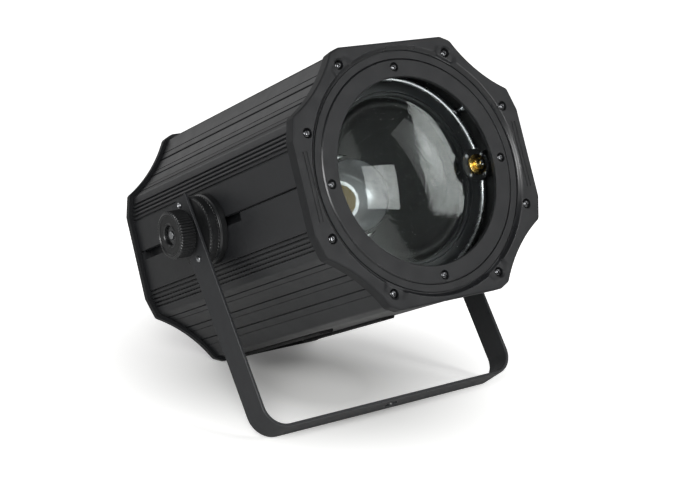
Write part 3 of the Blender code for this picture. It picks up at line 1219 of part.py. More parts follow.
def add_knobs(shop):
    body_start = KNOB_START + KNOB_BOSS_LENGTH
    bore = BOLT_RADIUS + GAP
    profile = [(bore, KNOB_RECESS_FLOOR), (KNOB_RECESS_RADIUS, KNOB_RECESS_FLOOR),
               (KNOB_RECESS_RADIUS, KNOB_FACE), (KNOB_RADIUS - KNOB_EDGE, KNOB_FACE),
               (KNOB_RADIUS, KNOB_FACE - KNOB_EDGE), (KNOB_RADIUS, body_start),
               (KNOB_BOSS_RADIUS, body_start), (KNOB_BOSS_RADIUS, KNOB_START), (bore, KNOB_START)]
    for word, side in SIDES.items():
        turn = side_turn(side)
        knob = turned(f"clamp_knob_{word}", profile, 2 * KNOB_RIBS, closed=True)
        for vertex in knob.vertices:
            radius = math.hypot(vertex.co.x, vertex.co.y)
            place = round(math.atan2(vertex.co.y, vertex.co.x) / (math.pi / KNOB_RIBS))
            if place % 2 and radius > KNOB_RADIUS - KNOB_EDGE / 4:
                vertex.co.x *= (radius - KNOB_RIB_DEPTH) / radius
                vertex.co.y *= (radius - KNOB_RIB_DEPTH) / radius
        shop.add(f"clamp_knob_{word}", knob, "moulding", rotation=turn)
        insert = ring(f"knob_insert_{word}", bore, KNOB_RECESS_RADIUS - GAP,
                      KNOB_RECESS_FLOOR + GAP + INSERT_THICKNESS, KNOB_RECESS_FLOOR + GAP, 16)
        shop.add(f"knob_insert_{word}", insert, "steel", rotation=turn)


# Assembly

def resting_tilt():
    """The body's tilt that puts the rear bezel's lower edge and the yoke bar's rear edge on one level."""
    lean = math.radians(YOKE_LEAN)
    bar_y = -YOKE_LENGTH * math.cos(lean) - YOKE_STRIP / 2 * math.sin(lean)
    bar_z = -PIVOT_DEPTH + YOKE_LENGTH * math.sin(lean) - YOKE_STRIP / 2 * math.cos(lean)
    edge_y, edge_z = -HALF_HEIGHT, -BODY_DEPTH + BEZEL_EDGE
    return math.atan2(edge_y - bar_y, bar_z - edge_z)


def stand_on_floor(root, collection):
    """Moves everything so that the middle of the part's underside lies at the origin."""
    bpy.context.view_layer.update()
    graph = bpy.context.evaluated_depsgraph_get()
    low, high = Vector((1e9,) * 3), Vector((-1e9,) * 3)
    for item in collection.objects:
        evaluated = item.evaluated_get(graph)
        for vertex in evaluated.data.vertices:
            place = evaluated.matrix_world @ vertex.co
            low = Vector(map(min, low, place))
            high = Vector(map(max, high, place))
    root.location -= Vector(((low.x + high.x) / 2, (low.y + high.y) / 2, low.z))


def main():
    clear_scene()
    shop = Workshop()
    root = add_empty("body_frame", None, rotation=(math.pi / 2 - resting_tilt(), 0, 0))
    pivot = add_empty("pivot_frame", root, (0, 0, -PIVOT_DEPTH))
    yoke_frame = add_empty("yoke_frame", pivot, rotation=(-math.radians(YOKE_LEAN), 0, 0))
    shop.frame = root
    add_housing(shop)
    add_front_bezel(shop)
    add_lens_ring(shop)
    add_barrel(shop)
    add_carriage(shop)
    add_drive(shop)
    add_bulkhead(shop)
    add_lamp(shop)
    add_heat_sink(shop)
    add_fan(shop)
    add_guard(shop)
    add_rear_bezel(shop)
    add_panel(shop)
    add_controls(shop)
    add_sockets(shop)
    add_fuse(shop)
    add_safety_eye(shop)
    add_supply(shop)
    shop.frame = pivot
    add_slide_parts(shop)
    shop.frame = yoke_frame
    add_yoke(shop)
    add_yoke_parts(shop)
    add_knobs(shop)
    stand_on_floor(root, shop.parts)
    bpy.context.view_layer.update()


main()
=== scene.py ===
"""The visible pieces, finishes and studio of an LED par can, laid out as an add-on.

Body pieces are drawn about the optical axis: X to the right seen from the front, Y up, Z along
the beam, with Z = 0 on the face of the lens ring.  Everything is in metres.
"""

import math

import bmesh
import bpy
from mathutils import Matrix, Vector


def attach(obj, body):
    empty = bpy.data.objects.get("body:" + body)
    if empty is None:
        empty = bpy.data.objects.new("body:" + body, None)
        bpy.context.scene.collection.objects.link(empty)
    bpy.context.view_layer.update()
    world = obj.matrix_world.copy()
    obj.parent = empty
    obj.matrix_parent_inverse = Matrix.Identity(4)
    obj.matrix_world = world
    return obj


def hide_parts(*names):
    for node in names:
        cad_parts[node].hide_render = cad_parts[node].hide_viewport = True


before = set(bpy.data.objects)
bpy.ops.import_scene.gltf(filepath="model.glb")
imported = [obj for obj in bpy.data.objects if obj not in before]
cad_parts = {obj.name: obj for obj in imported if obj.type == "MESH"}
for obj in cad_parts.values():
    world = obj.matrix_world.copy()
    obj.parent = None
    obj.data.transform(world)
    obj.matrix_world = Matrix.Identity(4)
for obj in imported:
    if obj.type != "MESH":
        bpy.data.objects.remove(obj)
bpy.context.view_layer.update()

bl_info = {
    "name": "LED par can",
    "version": (1, 0, 0),
    "blender": (4, 5, 0),
    "location": "3D View > Sidebar > Par Can",
    "description": "Builds the visible pieces, finishes and studio of an LED par can",
    "category": "Object",
}

MM = 0.001

# Places: the body leans back on its rear bezel, and the yoke leans about its pivots
TILT = math.radians(25.359835573)
YOKE_LEAN = math.radians(12.85)
PIVOT_DEPTH = 0.1695
BODY = Matrix.Translation((0, -0.140018, 0.238533)) @ Matrix.Rotation(math.pi / 2 - TILT, 4, "X")
PIVOT = BODY @ Matrix.Translation((0, 0, -PIVOT_DEPTH))
YOKE = PIVOT @ Matrix.Rotation(-YOKE_LEAN, 4, "X")
SIDES = {"left": -1, "right": 1}

# Body outline
HALF_WIDTH, HALF_HEIGHT = 0.125, 0.1165
TOP_FLAT, TOP_CHAMFER = 0.0565, (0.0100, 0.0046)
SIDE_FLAT, SIDE_CHAMFER = 0.0411, (0.0062, 0.0206)
CORNER_SAG, CORNER_STEPS, CORNER_ROUNDING = 0.005, 18, 0.006
HOUSING_INSET, HOUSING_WALL, HOUSING_LIFT = 0.0045, 0.0032, 0.0018
HOUSING_FRONT, HOUSING_REAR, SEAM_HEIGHT = -0.0069, -0.3064, 0.004
SLOT_FRONT, SLOT_REAR, SLOT_HEIGHT = -0.112, -0.302, 0.008
BOSS_RADIUS = 0.0076
GAP = 0.0003

# Front
LAND_LEVEL, PAD_LEVEL, BAND_LEVEL = 0.0026, 0.0008, -0.0004
BEZEL_REAR, BEZEL_SKIRT, BEZEL_PLATE, BEZEL_EDGE = -0.016, -0.0084, -0.0066, 0.0015
RECESS_RADIUS, RECESS_TOP, RECESS_GROOVE = 0.1093, 0.1130, 0.0012
RING_OUTER, RING_INNER, RING_THICKNESS = 0.10125, 0.085, 0.004
PAD_HALF_WIDTH, PAD_BLEND, PAD_FADE = 0.0105, 0.003, (0.1155, 0.1225)
COLLAR_RADIUS, BARREL_OUTER, BARREL_INNER = 0.1085, 0.105, 0.103
GLASS_RADIUS, GLASS_LEDGE = 0.0915, 0.0898
BEZEL_SCREWS = ((0.0588, 0.1014), (0.1085, 0.04595))
RING_SCREW_CIRCLE = 0.0942

# Zoom
CARRIAGE_RADIUS, CARRIAGE_FRONT, CARRIAGE_DEPTH, CARRIAGE_BORE = 0.0935, -0.0295, 0.0175, 0.075
LENS_RADIUS, LENS_EDGE_FRONT, LENS_EDGE, LENS_BULGE = 0.0788, -0.033, 0.005, 0.012
SCREW_AXIS, ROD_CIRCLE, ROD_ANGLE = 0.0836, 0.098, 33
EAR_FRONT, EAR_THICKNESS = -0.0245, 0.003
BULKHEAD_FRONT, BULKHEAD_REAR = -0.106, -0.109

# Rear
BODY_REAR, REAR_FLOOR, REAR_BEZEL_FRONT = -0.3125, -0.309, -0.3058
PANEL_REAR, PANEL_FRONT = -0.3087, -0.3067
FAN_HEIGHT, FAN_BORE, FAN_HUB = 0.040, 0.044, 0.017
CONTROLS_HEIGHT, SOCKETS_HEIGHT = -0.044, -0.074
SOCKETS = {"power_inlet": -0.042, "power_outlet": -0.014, "dmx_inlet": 0.014, "dmx_outlet": 0.042}
DISPLAY_PLACE, FUSE_PLACE, EYE_PLACE = -0.034, 0.084, (0.084, 0.036)
BUTTON_PLACES = [0.010 + i * 0.0155 for i in range(4)]
CONTACT_CIRCLE, CONTACT_ANGLES = 0.0047, (90, 210, 330)

# Pivots and yoke, outwards from the body
SLIDE_DISC = (0.1208, 0.1283, 0.0327)
YOKE_DISC = (0.1286, 0.1387, 0.032)
YOKE_HALF_WIDTH, YOKE_THICKNESS, YOKE_STRIP, YOKE_LENGTH = 0.142, 0.003, 0.030, 0.1993
YOKE_BEND, YOKE_HEAD_RADIUS = 0.0225, 0.0355
KNOB_START, KNOB_BODY, KNOB_FACE, KNOB_RADIUS = 0.1438, 0.1465, 0.1635, 0.022

# Radius and height of each pan head, and radius and length of its shank
SCREWS = {
    "bezel_screw": (0.0037, 0.0026, 0.0015, 0.004), "ring_screw": (0.0034, 0.0022, 0.0014, 0.007),
    "rear_screw": (0.0037, 0.0026, 0.0015, 0.002), "nut_screw": (0.0019, 0.0014, 0.001, 0.002),
    "fan_screw": (0.0031, 0.0018, 0.0015, 0.004), "socket_screw": (0.0019, 0.0010, 0.001, 0.002),
    "eye_screw": (0.0019, 0.0011, 0.001, 0.002), "disc_screw": (0.0028, 0.0017, 0.0016, 0.002),
}
# How far each screw was turned when it was driven home, in degrees
SCREW_TURNS = (12, 71, 38, 55, 4, 83, 27, 64, 19, 47, 76, 33, 59, 8, 88, 42)


def linear(code):
    """A colour code such as "#2b2c2e" as linear red, green and blue."""
    values = [int(code[i:i + 2], 16) / 255 for i in (1, 3, 5)]
    return [v / 12.92 if v <= 0.04045 else ((v + 0.055) / 1.055) ** 2.4 for v in values]


# Settings shown in the sidebar

def hue(name, description, code):
    return bpy.props.FloatVectorProperty(name=name, description=description, default=linear(code),
                                         subtype="COLOR", size=3, min=0.0, max=1.0)


def length(name, description, default):
    return bpy.props.FloatProperty(name=name, description=description, default=default, min=0.0,
                                   unit="LENGTH", precision=5)


def amount(name, description, default, highest):
    return bpy.props.IntProperty(name=name, description=description, default=default, min=12,
                                 max=highest)


def watts(name, description, default):
    return bpy.props.FloatProperty(name=name, description=description, default=default, min=0.0,
                                   unit="POWER")


class ParCanSizes(bpy.types.PropertyGroup):
    knob_ribs: amount("Knob ribs", "Ribs round each clamping knob", 48, 90)
    knob_rib_depth: length("Knob rib depth", "How deep the knobs are fluted", 0.9 * MM)
    disc_teeth: amount("Disc teeth", "Teeth round each yoke disc's rim", 60, 120)
    side_groove_depth: length("Side groove depth", "Depth of the housing's side grooves", 2.3 * MM)
    facet_groove_depth: length("Facet groove depth", "Depth of the corner grooves", 2.1 * MM)
    flute_depth: length("Flute depth", "Depth of the flutes in the front bezel's sides", 0.9 * MM)
    yoke_edge: length("Yoke edge", "Rounding of the yoke bar's edges", 0.8 * MM)
    guard_wire: length("Guard wire", "Radius of the fan guard's wire", 0.9 * MM)


class ParCanColours(bpy.types.PropertyGroup):
    shell: hue("Shell", "Powder coat of the housing", "#212224")
    bezels: hue("Bezels", "Moulded bezels and ring", "#151618")
    knobs: hue("Knobs", "Moulded knobs and discs", "#131415")
    yoke: hue("Yoke", "Powder coat of the yoke", "#2a2b2d")
    rubber: hue("Rubber", "Rest strips and buttons", "#151516")
    power_in: hue("Power inlet", "Moulded power inlet", "#1f56a8")
    power_out: hue("Power outlet", "Moulded power outlet", "#a4a6a6")
    digits: hue("Digits", "Lit digits of the display", "#ff3b20")


class ParCanStudio(bpy.types.PropertyGroup):
    key_power: watts("Key lamp", "Power of the softbox at the front", 11.0)
    fill_power: watts("Fill lamp", "Power of the softbox at the right", 3.6)
    side_power: watts("Side lamp", "Power of the softbox off to the left", 22.0)
    room_level: bpy.props.FloatProperty(name="Room", description="Brightness of the room in front",
                                        default=0.03, min=0.0, max=1.0, subtype="FACTOR")
    lens: bpy.props.FloatProperty(name="Camera lens", description="Focal length in millimetres",
                                  default=91.105, min=10.0, subtype="DISTANCE_CAMERA")


# Finishes

def emptied(owner):
    """The node tree of a material, lamp or world, with nothing in it."""
    owner.use_nodes = True
    owner.node_tree.nodes.clear()
    return owner.node_tree


def add(tree, kind, inputs=None, **settings):
    """Adds a node, sets it up, and sets or links its inputs; a node gives its first output."""
    made = tree.nodes.new(kind)
    for key, value in settings.items():
        setattr(made, key, value)
    for socket, value in (inputs or {}).items():
        if isinstance(value, bpy.types.Node):
            value = value.outputs[0]
        if isinstance(value, bpy.types.NodeSocket):
            tree.links.new(value, made.inputs[socket])
        else:
            made.inputs[socket].default_value = value
    return made


def surface(name, base, fleck, gloss, grain, relief, metallic=0.0, stretch=(1, 1, 1), patch=14,
            dust=0.0, **sockets):
    """A finish in two close tones with uneven gloss and a fine relief.

    The grain is the size of the relief's bumps, and relief their height.  The gloss runs between
    two roughnesses over patches, and the dust share lightens what faces up in patches, partly as
    settled dust and partly as painted light falling from above.  Sizes are in millimetres.
    """
    made = bpy.data.materials.new(name)
    tree = emptied(made)
    place = add(tree, "ShaderNodeTexCoord").outputs["Object"]
    stretched = add(tree, "ShaderNodeMapping", {"Vector": place, "Scale": stretch})
    fine = add(tree, "ShaderNodeTexNoise", {"Vector": stretched, "Scale": 1 / (grain * MM),
                                            "Detail": 3.0, "Roughness": 0.6})
    broad = add(tree, "ShaderNodeTexNoise", {"Vector": place, "Scale": 1 / (patch * MM),
                                             "Detail": 4.0})
    spread = add(tree, "ShaderNodeMapRange", {"Value": fine, "From Min": 0.35, "From Max": 0.65})
    shown = add(tree, "ShaderNodeMix", {"Factor": spread, "A": base, "B": fleck},
                data_type="RGBA").outputs["Result"]
    # Upward faces lighten in patches towards pale grey: settled dust, and partly painted light from
    # above
    if dust:
        facing = add(tree, "ShaderNodeNewGeometry").outputs["Normal"]
        height = add(tree, "ShaderNodeSeparateXYZ", {"Vector": facing}).outputs["Z"]
        upward = add(tree, "ShaderNodeMapRange", {"Value": height, "From Min": 0.35,
                                                  "From Max": 1.0, "To Max": dust})
        dust_and_top_light_share = add(tree, "ShaderNodeMath", {0: upward, 1: broad}, operation="MULTIPLY")
        shown = add(tree, "ShaderNodeMix", {"Factor": dust_and_top_light_share, "A": shown, "B": tone("#a9a8a4")},
                    data_type="RGBA").outputs["Result"]
    rough = add(tree, "ShaderNodeMapRange", {"Value": broad, "From Min": 0.3, "From Max": 0.7,
                                             "To Min": gloss[0], "To Max": gloss[1]})
    bump = add(tree, "ShaderNodeBump", {"Height": fine, "Distance": relief * MM})
    shader = add(tree, "ShaderNodeBsdfPrincipled", {"Base Color": shown, "Roughness": rough,
                                                    "Metallic": metallic, "Normal": bump,
                                                    **sockets})
    add(tree, "ShaderNodeOutputMaterial", {"Surface": shader})
    return made


def clear(name, tint, ior, specks, rings=0.0):
    """Glass that lets the lamps through, with specks of dust of the given size.

    rings is the height of polishing marks about Z, which also haze it a little.  Sizes are in
    millimetres.
    """
    made = bpy.data.materials.new(name)
    tree = emptied(made)
    place = add(tree, "ShaderNodeTexCoord").outputs["Object"]
    # a speck lies in the middle of each cell, which is many times as wide
    apart, speck_share = 14, 0.028
    cells = add(tree, "ShaderNodeTexVoronoi", {"Vector": place,
                                               "Scale": 1 / (apart * (specks * MM))})
    clean = add(tree, "ShaderNodeMath", {0: cells, 1: speck_share}, operation="GREATER_THAN")
    shader = add(tree, "ShaderNodeBsdfPrincipled", {"Base Color": tone(tint), "Roughness": 0.0,
                                                    "IOR": ior, "Transmission Weight": clean})
    if rings:
        flat = add(tree, "ShaderNodeMapping", {"Vector": place, "Scale": (1, 1, 0)})
        radius = add(tree, "ShaderNodeVectorMath", {0: flat}, operation="LENGTH").outputs["Value"]
        marks = add(tree, "ShaderNodeTexNoise", {"W": radius, "Scale": 1 / (5 * MM), "Detail": 2.0},
                    noise_dimensions="1D")
        haze = add(tree, "ShaderNodeMapRange", {"Value": marks, "From Min": 0.3, "From Max": 0.7,
                                                "To Min": 0.012, "To Max": 0.05})
        bump = add(tree, "ShaderNodeBump", {"Height": marks, "Distance": rings * MM})
        tree.links.new(haze.outputs[0], shader.inputs["Roughness"])
        tree.links.new(bump.outputs[0], shader.inputs["Normal"])
    passed = add(tree, "ShaderNodeBsdfTransparent", {"Color": tone(tint)})
    path = add(tree, "ShaderNodeLightPath")
    unseen = add(tree, "ShaderNodeMath", {0: path.outputs["Is Shadow Ray"],
                                          1: path.outputs["Is Diffuse Ray"]}, operation="MAXIMUM")
    mixed = add(tree, "ShaderNodeMixShader", {0: unseen, 1: shader, 2: passed})
    add(tree, "ShaderNodeOutputMaterial", {"Surface": mixed})
    return made


def glowing(name, colour, strength):
    made = bpy.data.materials.new(name)
    tree = emptied(made)
    place = add(tree, "ShaderNodeTexCoord").outputs["Object"]
    uneven = add(tree, "ShaderNodeTexNoise", {"Vector": place, "Scale": 1 / (3 * MM)})
    level = add(tree, "ShaderNodeMapRange", {"Value": uneven, "To Min": 0.8 * strength,
                                             "To Max": 1.2 * strength})
    shader = add(tree, "ShaderNodeBsdfPrincipled", {"Base Color": colour, "Roughness": 0.4,
                                                    "Emission Color": colour,
                                                    "Emission Strength": level})
    add(tree, "ShaderNodeOutputMaterial", {"Surface": shader})
    return made


def tone(source, share=1.0):
    """Red, green, blue and alpha of a colour code or a sidebar colour, made lighter by a share."""
    colours = bpy.context.scene.par_can_colours
    values = linear(source) if source.startswith("#") else getattr(colours, source)
    return (*(min(1.0, value * share) for value in values), 1)


# Each finish starts from the real material and how its surface was made.  A row holds the record's
# material slot, the two tones as colour codes or as a sidebar colour and its shares, the least and
# most roughness, and the size and height of the grain in millimetres.
FINISHES = {
    # Cured polyester powder on aluminium: satin, with an orange peel that breaks up highlights
    "powder_coated_aluminium": ("shell_coat", "shell", 1.0, 1.16, (0.36, 0.44), 1.3, 0.012,
                                {"dust": 0.10, "IOR": 1.5}),
    # The same kind of powder on steel bar: duller, so that the bar mirrors little of the floor
    "powder_coated_steel": ("yoke_coat", "yoke", 1.0, 1.14, (0.54, 0.62), 1.1, 0.010,
                            {"IOR": 1.38}),
    # The bar's edges, where the coat is drawn thin and rubbed smooth; their lighter tones are a
    # painted highlight
    "rubbed_powder_coat": ("yoke_coat", "yoke", 1.3, 1.6, (0.26, 0.34), 0.9, 0.002, {"IOR": 1.6}),
    # ABS from a spark-eroded mould: its 0.1 mm grain is drawn 0.7 mm wide so that it shows
    "moulded_abs": ("bezel_moulding", "bezels", 1.0, 1.3, (0.52, 0.62), 0.7, 0.010,
                    {"dust": 0.04, "IOR": 1.42}),
    # Edges that hands and cloths have rubbed: the grain is gone, so they shine
    "rubbed_abs": ("bezel_moulding", "bezels", 1.0, 1.2, (0.26, 0.34), 0.9, 0.002, {"IOR": 1.53}),
    # Glass-filled nylon: black, with a faint mottle on its skin
    "moulded_nylon": ("knob_moulding", "knobs", 1.0, 1.3, (0.40, 0.52), 0.8, 0.010, {"IOR": 1.53}),
    # The knobs' and discs' teeth and lips, rubbed smooth by fingers; their much lighter tones are a
    # painted highlight
    "rubbed_nylon": ("knob_moulding", "knobs", 1.8, 2.4, (0.26, 0.34), 0.9, 0.002, {"IOR": 1.6}),
    # Nylon dyed through, smooth from a polished mould, so it has a soft sheen
    "moulded_blue_nylon": ("blue_moulding", "power_in", 1.0, 1.15, (0.36, 0.46), 0.8, 0.006,
                           {"IOR": 1.53}),
    "moulded_grey_nylon": ("grey_moulding", "power_out", 1.0, 1.1, (0.36, 0.46), 0.8, 0.006,
                           {"IOR": 1.53}),
    # Moulded rubber: matt and soft, with bloom in its hollows
    "moulded_rubber": ("black_rubber", "rubber", 1.0, 1.7, (0.72, 0.86), 0.9, 0.02, {"IOR": 1.52}),
    # Sprayed matt paint inside the lamp: it swallows stray light, and its near-black tones, darker
    # than such paint, are painted shade where the lens would bend the lamps' light away
    "matt_black_paint": ("yoke_coat", "#0c0c0d", "#111112", (0.82, 0.94), 1.5, 0.006,
                         {"IOR": 1.45}),
    # Bright zinc over steel: bluish white, with a slightly frosty bloom
    "zinc_plated_steel": ("zinc_steel", "#a9abae", "#b9bbbe", (0.28, 0.38), 0.8, 0.003,
                          {"metallic": 1.0, "patch": 5}),
    # Black nickel over steel: dark, but it still mirrors the lamps
    "black_nickel_steel": ("zinc_steel", "#5b5c5e", "#747577", (0.20, 0.32), 0.8, 0.004,
                           {"metallic": 1.0, "patch": 3}),
    # Drawn wire under chrome: a near mirror, faintly uneven
    "chromed_wire": ("zinc_steel", "#c9cbce", "#dcdee0", (0.10, 0.18), 1.0, 0.002,
                     {"metallic": 1.0, "patch": 6}),
    # Free-cutting brass from the lathe: warm, with fine turning marks across its axis
    "turned_brass": ("brass", "#b8944a", "#dcbf74", (0.20, 0.32), 0.9, 0.006,
                     {"metallic": 1.0, "stretch": (1, 1, 3), "patch": 4}),
    # Mill-finish aluminium: soft grey sheen, streaked along the extrusion
    "extruded_aluminium": ("bare_aluminium", "#a9abad", "#c6c8ca", (0.32, 0.46), 1.2, 0.006,
                           {"metallic": 1.0, "stretch": (1, 0.08, 1)}),
    # Aluminium from the lathe: bright, with the faint unevenness that the tool left
    "turned_aluminium": ("bare_aluminium", "#b4b6b9", "#d8dadc", (0.22, 0.34), 0.9, 0.006,
                         {"metallic": 1.0}),
    # Aluminium vapour on a peened moulding: a soft mirror
    "metallised_reflector": ("bare_aluminium", "#7c7e81", "#8c8e91", (0.30, 0.40), 2.0, 0.02,
                             {"metallic": 1.0}),
    # Smoked acrylic window: deep gloss that hides what is behind it
    "tinted_acrylic": ("display_glass", "#0b0c0f", "#101216", (0.05, 0.10), 5.0, 0.001,
                       {"IOR": 1.49}),
    # Glass-fibre board under green solder mask, glossy over the weave
    "solder_masked_board": ("green_board", "#14512b", "#1d6a39", (0.28, 0.38), 0.9, 0.006,
                            {"stretch": (1, 2, 1), "IOR": 1.5}),
    # Yellow phosphor in silicone over the diodes
    "phosphor_coating": ("phosphor", "#7a652c", "#88743c", (0.50, 0.62), 0.8, 0.01, {"IOR": 1.41}),
}

# Slot, tint, IOR, size of the dust's specks and height of the polishing marks in millimetres
GLASSES = {
    # Toughened float glass, clear, with a little dust; its coat against reflections is what
    # the low IOR stands for, so that it hardly mirrors the room
    "float_glass": ("clear_glass", "#f4f7f6", 1.18, 0.45, 0.0),
    # Moulded silicone lens: clear, so that only its reflections show it
    "moulded_lens": ("lens_glass", "#f3f4f3", 1.41, 0.4, 0.0),
    # The lens's flat side, polished on a wheel: faint rings streak and soften what it mirrors
    "polished_lens_back": ("lens_glass", "#f3f4f3", 1.41, 0.4, 0.03),
}
LIT_SEGMENTS = "lit_segments"


def finish(name):
    """A finish, made when the first piece asks for it."""
    made = bpy.data.materials.get(name)
    if made:
        return made
    if name == LIT_SEGMENTS:
        return glowing(name, tone("digits"), 1.6)
    if name in GLASSES:
        return clear(name, *GLASSES[name][1:])
    _, *tones, gloss, grain, relief, others = FINISHES[name]
    if len(tones) == 3:
        colour, *shares = tones
        base, fleck = (tone(colour, share) for share in shares)
    else:
        base, fleck = (tone(code) for code in tones)
    return surface(name, base, fleck, gloss, grain, relief, **others)


# Mesh tools

def finish_mesh(bm, name, sharp=34.0):
    bmesh.ops.recalc_face_normals(bm, faces=bm.faces)
    mesh = bpy.data.meshes.new(name)
    bm.to_mesh(mesh)
    bm.free()
    mesh.shade_smooth()
    mesh.set_sharp_from_angle(angle=math.radians(sharp))
    return mesh


def evaluated_mesh(source, name, sharp=34.0):
    """The source's mesh with its modifiers or curve settings applied; the source is removed."""
    graph = bpy.context.evaluated_depsgraph_get()
    mesh = bpy.data.meshes.new_from_object(source.evaluated_get(graph))
    bpy.data.objects.remove(source, do_unlink=True)
    bm = bmesh.new()
    bm.from_mesh(mesh)
    bpy.data.meshes.remove(mesh)
    bmesh.ops.remove_doubles(bm, verts=bm.verts, dist=2e-6)
    return finish_mesh(bm, name, sharp)


def linked(name, data):
    made = bpy.data.objects.new(name, data)
    bpy.context.scene.collection.objects.link(made)
    return made


def carved(name, mesh, *cutters, soft=0.0, sharp=34.0):
    """The mesh with its edges rounded by the soft width, less the cutters."""
    target = linked(name, mesh)
    if soft:
        bevel = target.modifiers.new("soft_edges", "BEVEL")
        bevel.width = soft
        bevel.segments = 2
        bevel.limit_method = "ANGLE"
        bevel.angle_limit = math.radians(60)
        bevel.use_clamp_overlap = False
    tools = [linked(f"{name}_cutter_{i}", cutter) for i, cutter in enumerate(cutters)]
    for tool in tools:
        change = target.modifiers.new("cut", "BOOLEAN")
        change.operation = "DIFFERENCE"
        change.solver = "EXACT"
        change.object = tool
    made = evaluated_mesh(target, name, sharp)
    for tool in tools:
        bpy.data.objects.remove(tool, do_unlink=True)
    return made


def merged(name, *parts, sharp=34.0):
    """One mesh of several (mesh, place) solids."""
    bm = bmesh.new()
    for mesh, place in parts:
        copy = mesh.copy()
        copy.transform(place)
        bm.from_mesh(copy)
        bpy.data.meshes.remove(copy)
    return finish_mesh(bm, name, sharp)


def copies(name, mesh, places):
    return merged(name, *[(mesh, place) for place in places])


def at(x, y, z=0.0):
    return Matrix.Translation((x, y, z))


def turn_z(degrees):
    return Matrix.Rotation(math.radians(degrees), 4, "Z")


def four_ways(x, y, z=0.0):
    return [at(sx * x, sy * y, z) for sx in (-1, 1) for sy in (-1, 1)]


def round_axis(radius, degrees, x=0.0, z=0.0):
    """Places on a circle about Z, whose middle lies at x."""
    return [at(x + radius * math.cos(a), radius * math.sin(a), z)
            for a in (math.radians(d) for d in degrees)]


def eased(points, radius, steps=3, closed=True):
    """The path with its corners rounded off to about a radius."""
    made = []
    count = len(points)
    for i, point in enumerate(points):
        if not closed and i in (0, count - 1):
            made.append(tuple(point))
            continue
        here = Vector(point)
        before, after = Vector(points[i - 1]) - here, Vector(points[(i + 1) % count]) - here
        turn = math.pi - before.angle(after)
        reach = min(radius * math.tan(turn / 2), 0.45 * before.length, 0.45 * after.length)
        if reach < 2e-5:
            made.append(tuple(point))
            continue
        start, end = here + before.normalized() * reach, here + after.normalized() * reach
        for k in range(steps + 1):
            t = k / steps
            made.append(tuple(start * (1 - t) ** 2 + here * (2 * t * (1 - t)) + end * t * t))
    return made


def skin(bm, rows, looped=True, caps=False):
    """Bridges each row of points to the next; looped rows close on themselves.

    A row of a single point makes a fan.  Caps close the first and the last row.
    """
    for upper, lower in zip(rows, rows[1:]):
        total = max(len(upper), len(lower))
        for i in range(total if looped else total - 1):
            j = (i + 1) % total
            corners = dict.fromkeys((upper[i % len(upper)], upper[j % len(upper)],
                                     lower[j % len(lower)], lower[i % len(lower)]))
            if len(corners) > 2:
                bm.faces.new(tuple(corners))
    if caps:
        bm.faces.new(rows[0])
        bm.faces.new(list(reversed(rows[-1])))


def turned(name, profile, steps, closed=False, ribs=None, sharp=34.0):
    """A profile of (radius, height) points turned about Z.

    ribs is (count, depth, lowest, highest): points near the widest radius and between those
    heights are fluted.
    """
    bm = bmesh.new()
    widest = max(radius for radius, _ in profile)
    rows = []
    for radius, height in profile:
        if radius < 1e-7:
            rows.append([bm.verts.new((0, 0, height))])
            continue
        row = []
        for i in range(steps):
            angle = 2 * math.pi * i / steps
            reach = radius
            if ribs and ribs[2] <= height <= ribs[3] and radius > widest - 2.2 * ribs[1]:
                reach -= ribs[1] * (0.5 - 0.5 * math.cos(ribs[0] * angle)) ** 1.6
            row.append(bm.verts.new((reach * math.cos(angle), reach * math.sin(angle), height)))
        rows.append(row)
    skin(bm, rows + rows[:1] if closed else rows)
    return finish_mesh(bm, name, sharp)


def tube(name, inner, outer, top, bottom, steps, edge=0.0002):
    profile = eased([(inner, top), (outer, top), (outer, bottom), (inner, bottom)], edge * 1.7, 2)
    return turned(name, profile, steps, closed=True)


def rod(name, radius, top, bottom, steps, edge=0.0002):
    profile = [(0, top), (radius, top), (radius, bottom), (0, bottom)]
    return turned(name, eased(profile, edge * 1.7, 2, closed=False), steps)


def hoop(name, radius, level, wire, steps, around=10):
    """A wire bent into a circle about Z."""
    section = [(radius + wire * math.cos(a), level + wire * math.sin(a))
               for a in (2 * math.pi * i / around for i in range(around))]
    return turned(name, section, steps, closed=True)


def block(name, size, centre=(0, 0, 0), edge=0.0, segments=2):
    bm = bmesh.new()
    bmesh.ops.create_cube(bm, size=1.0)
    bmesh.ops.scale(bm, vec=size, verts=bm.verts)
    bmesh.ops.translate(bm, vec=centre, verts=bm.verts)
    if edge:
        bmesh.ops.bevel(bm, geom=list(bm.edges), offset=edge, segments=segments, profile=0.5,
                        affect="EDGES")
    return finish_mesh(bm, name)


def extruded(name, outlines, bottom, top):
    """Flat outlines in XY, the later ones as holes in the first, raised from bottom to top."""
    curve = bpy.data.curves.new(name, "CURVE")
    curve.dimensions = "2D"
    curve.fill_mode = "BOTH"
    curve.extrude = (top - bottom) / 2
    for points in outlines:
        spline = curve.splines.new("POLY")
        spline.points.add(len(points) - 1)
        for point, (x, y) in zip(spline.points, points):
            point.co = (x, y, 0, 1)
        spline.use_cyclic_u = True
    mesh = evaluated_mesh(linked(name, curve), name)
    mesh.transform(at(0, 0, (top + bottom) / 2))
    return mesh


def circle(radius, steps, centre=(0.0, 0.0)):
    angles = [2 * math.pi * (i + 0.5) / steps for i in range(steps)]
    return [(centre[0] + radius * math.cos(a), centre[1] + radius * math.sin(a)) for a in angles]


def rectangle(width, height, rounding, centre=(0.0, 0.0)):
    x, y = width / 2, height / 2
    corners = [(centre[0] + a, centre[1] + b) for a, b in ((x, y), (-x, y), (-x, -y), (x, -y))]
    return eased(corners, rounding, 4)


def smooth(share):
    """Eases a share in and out between 0 and 1."""
    share = min(1.0, max(0.0, share))
    return share * share * (3 - 2 * share)


# The outline shared by the bezels and the housing

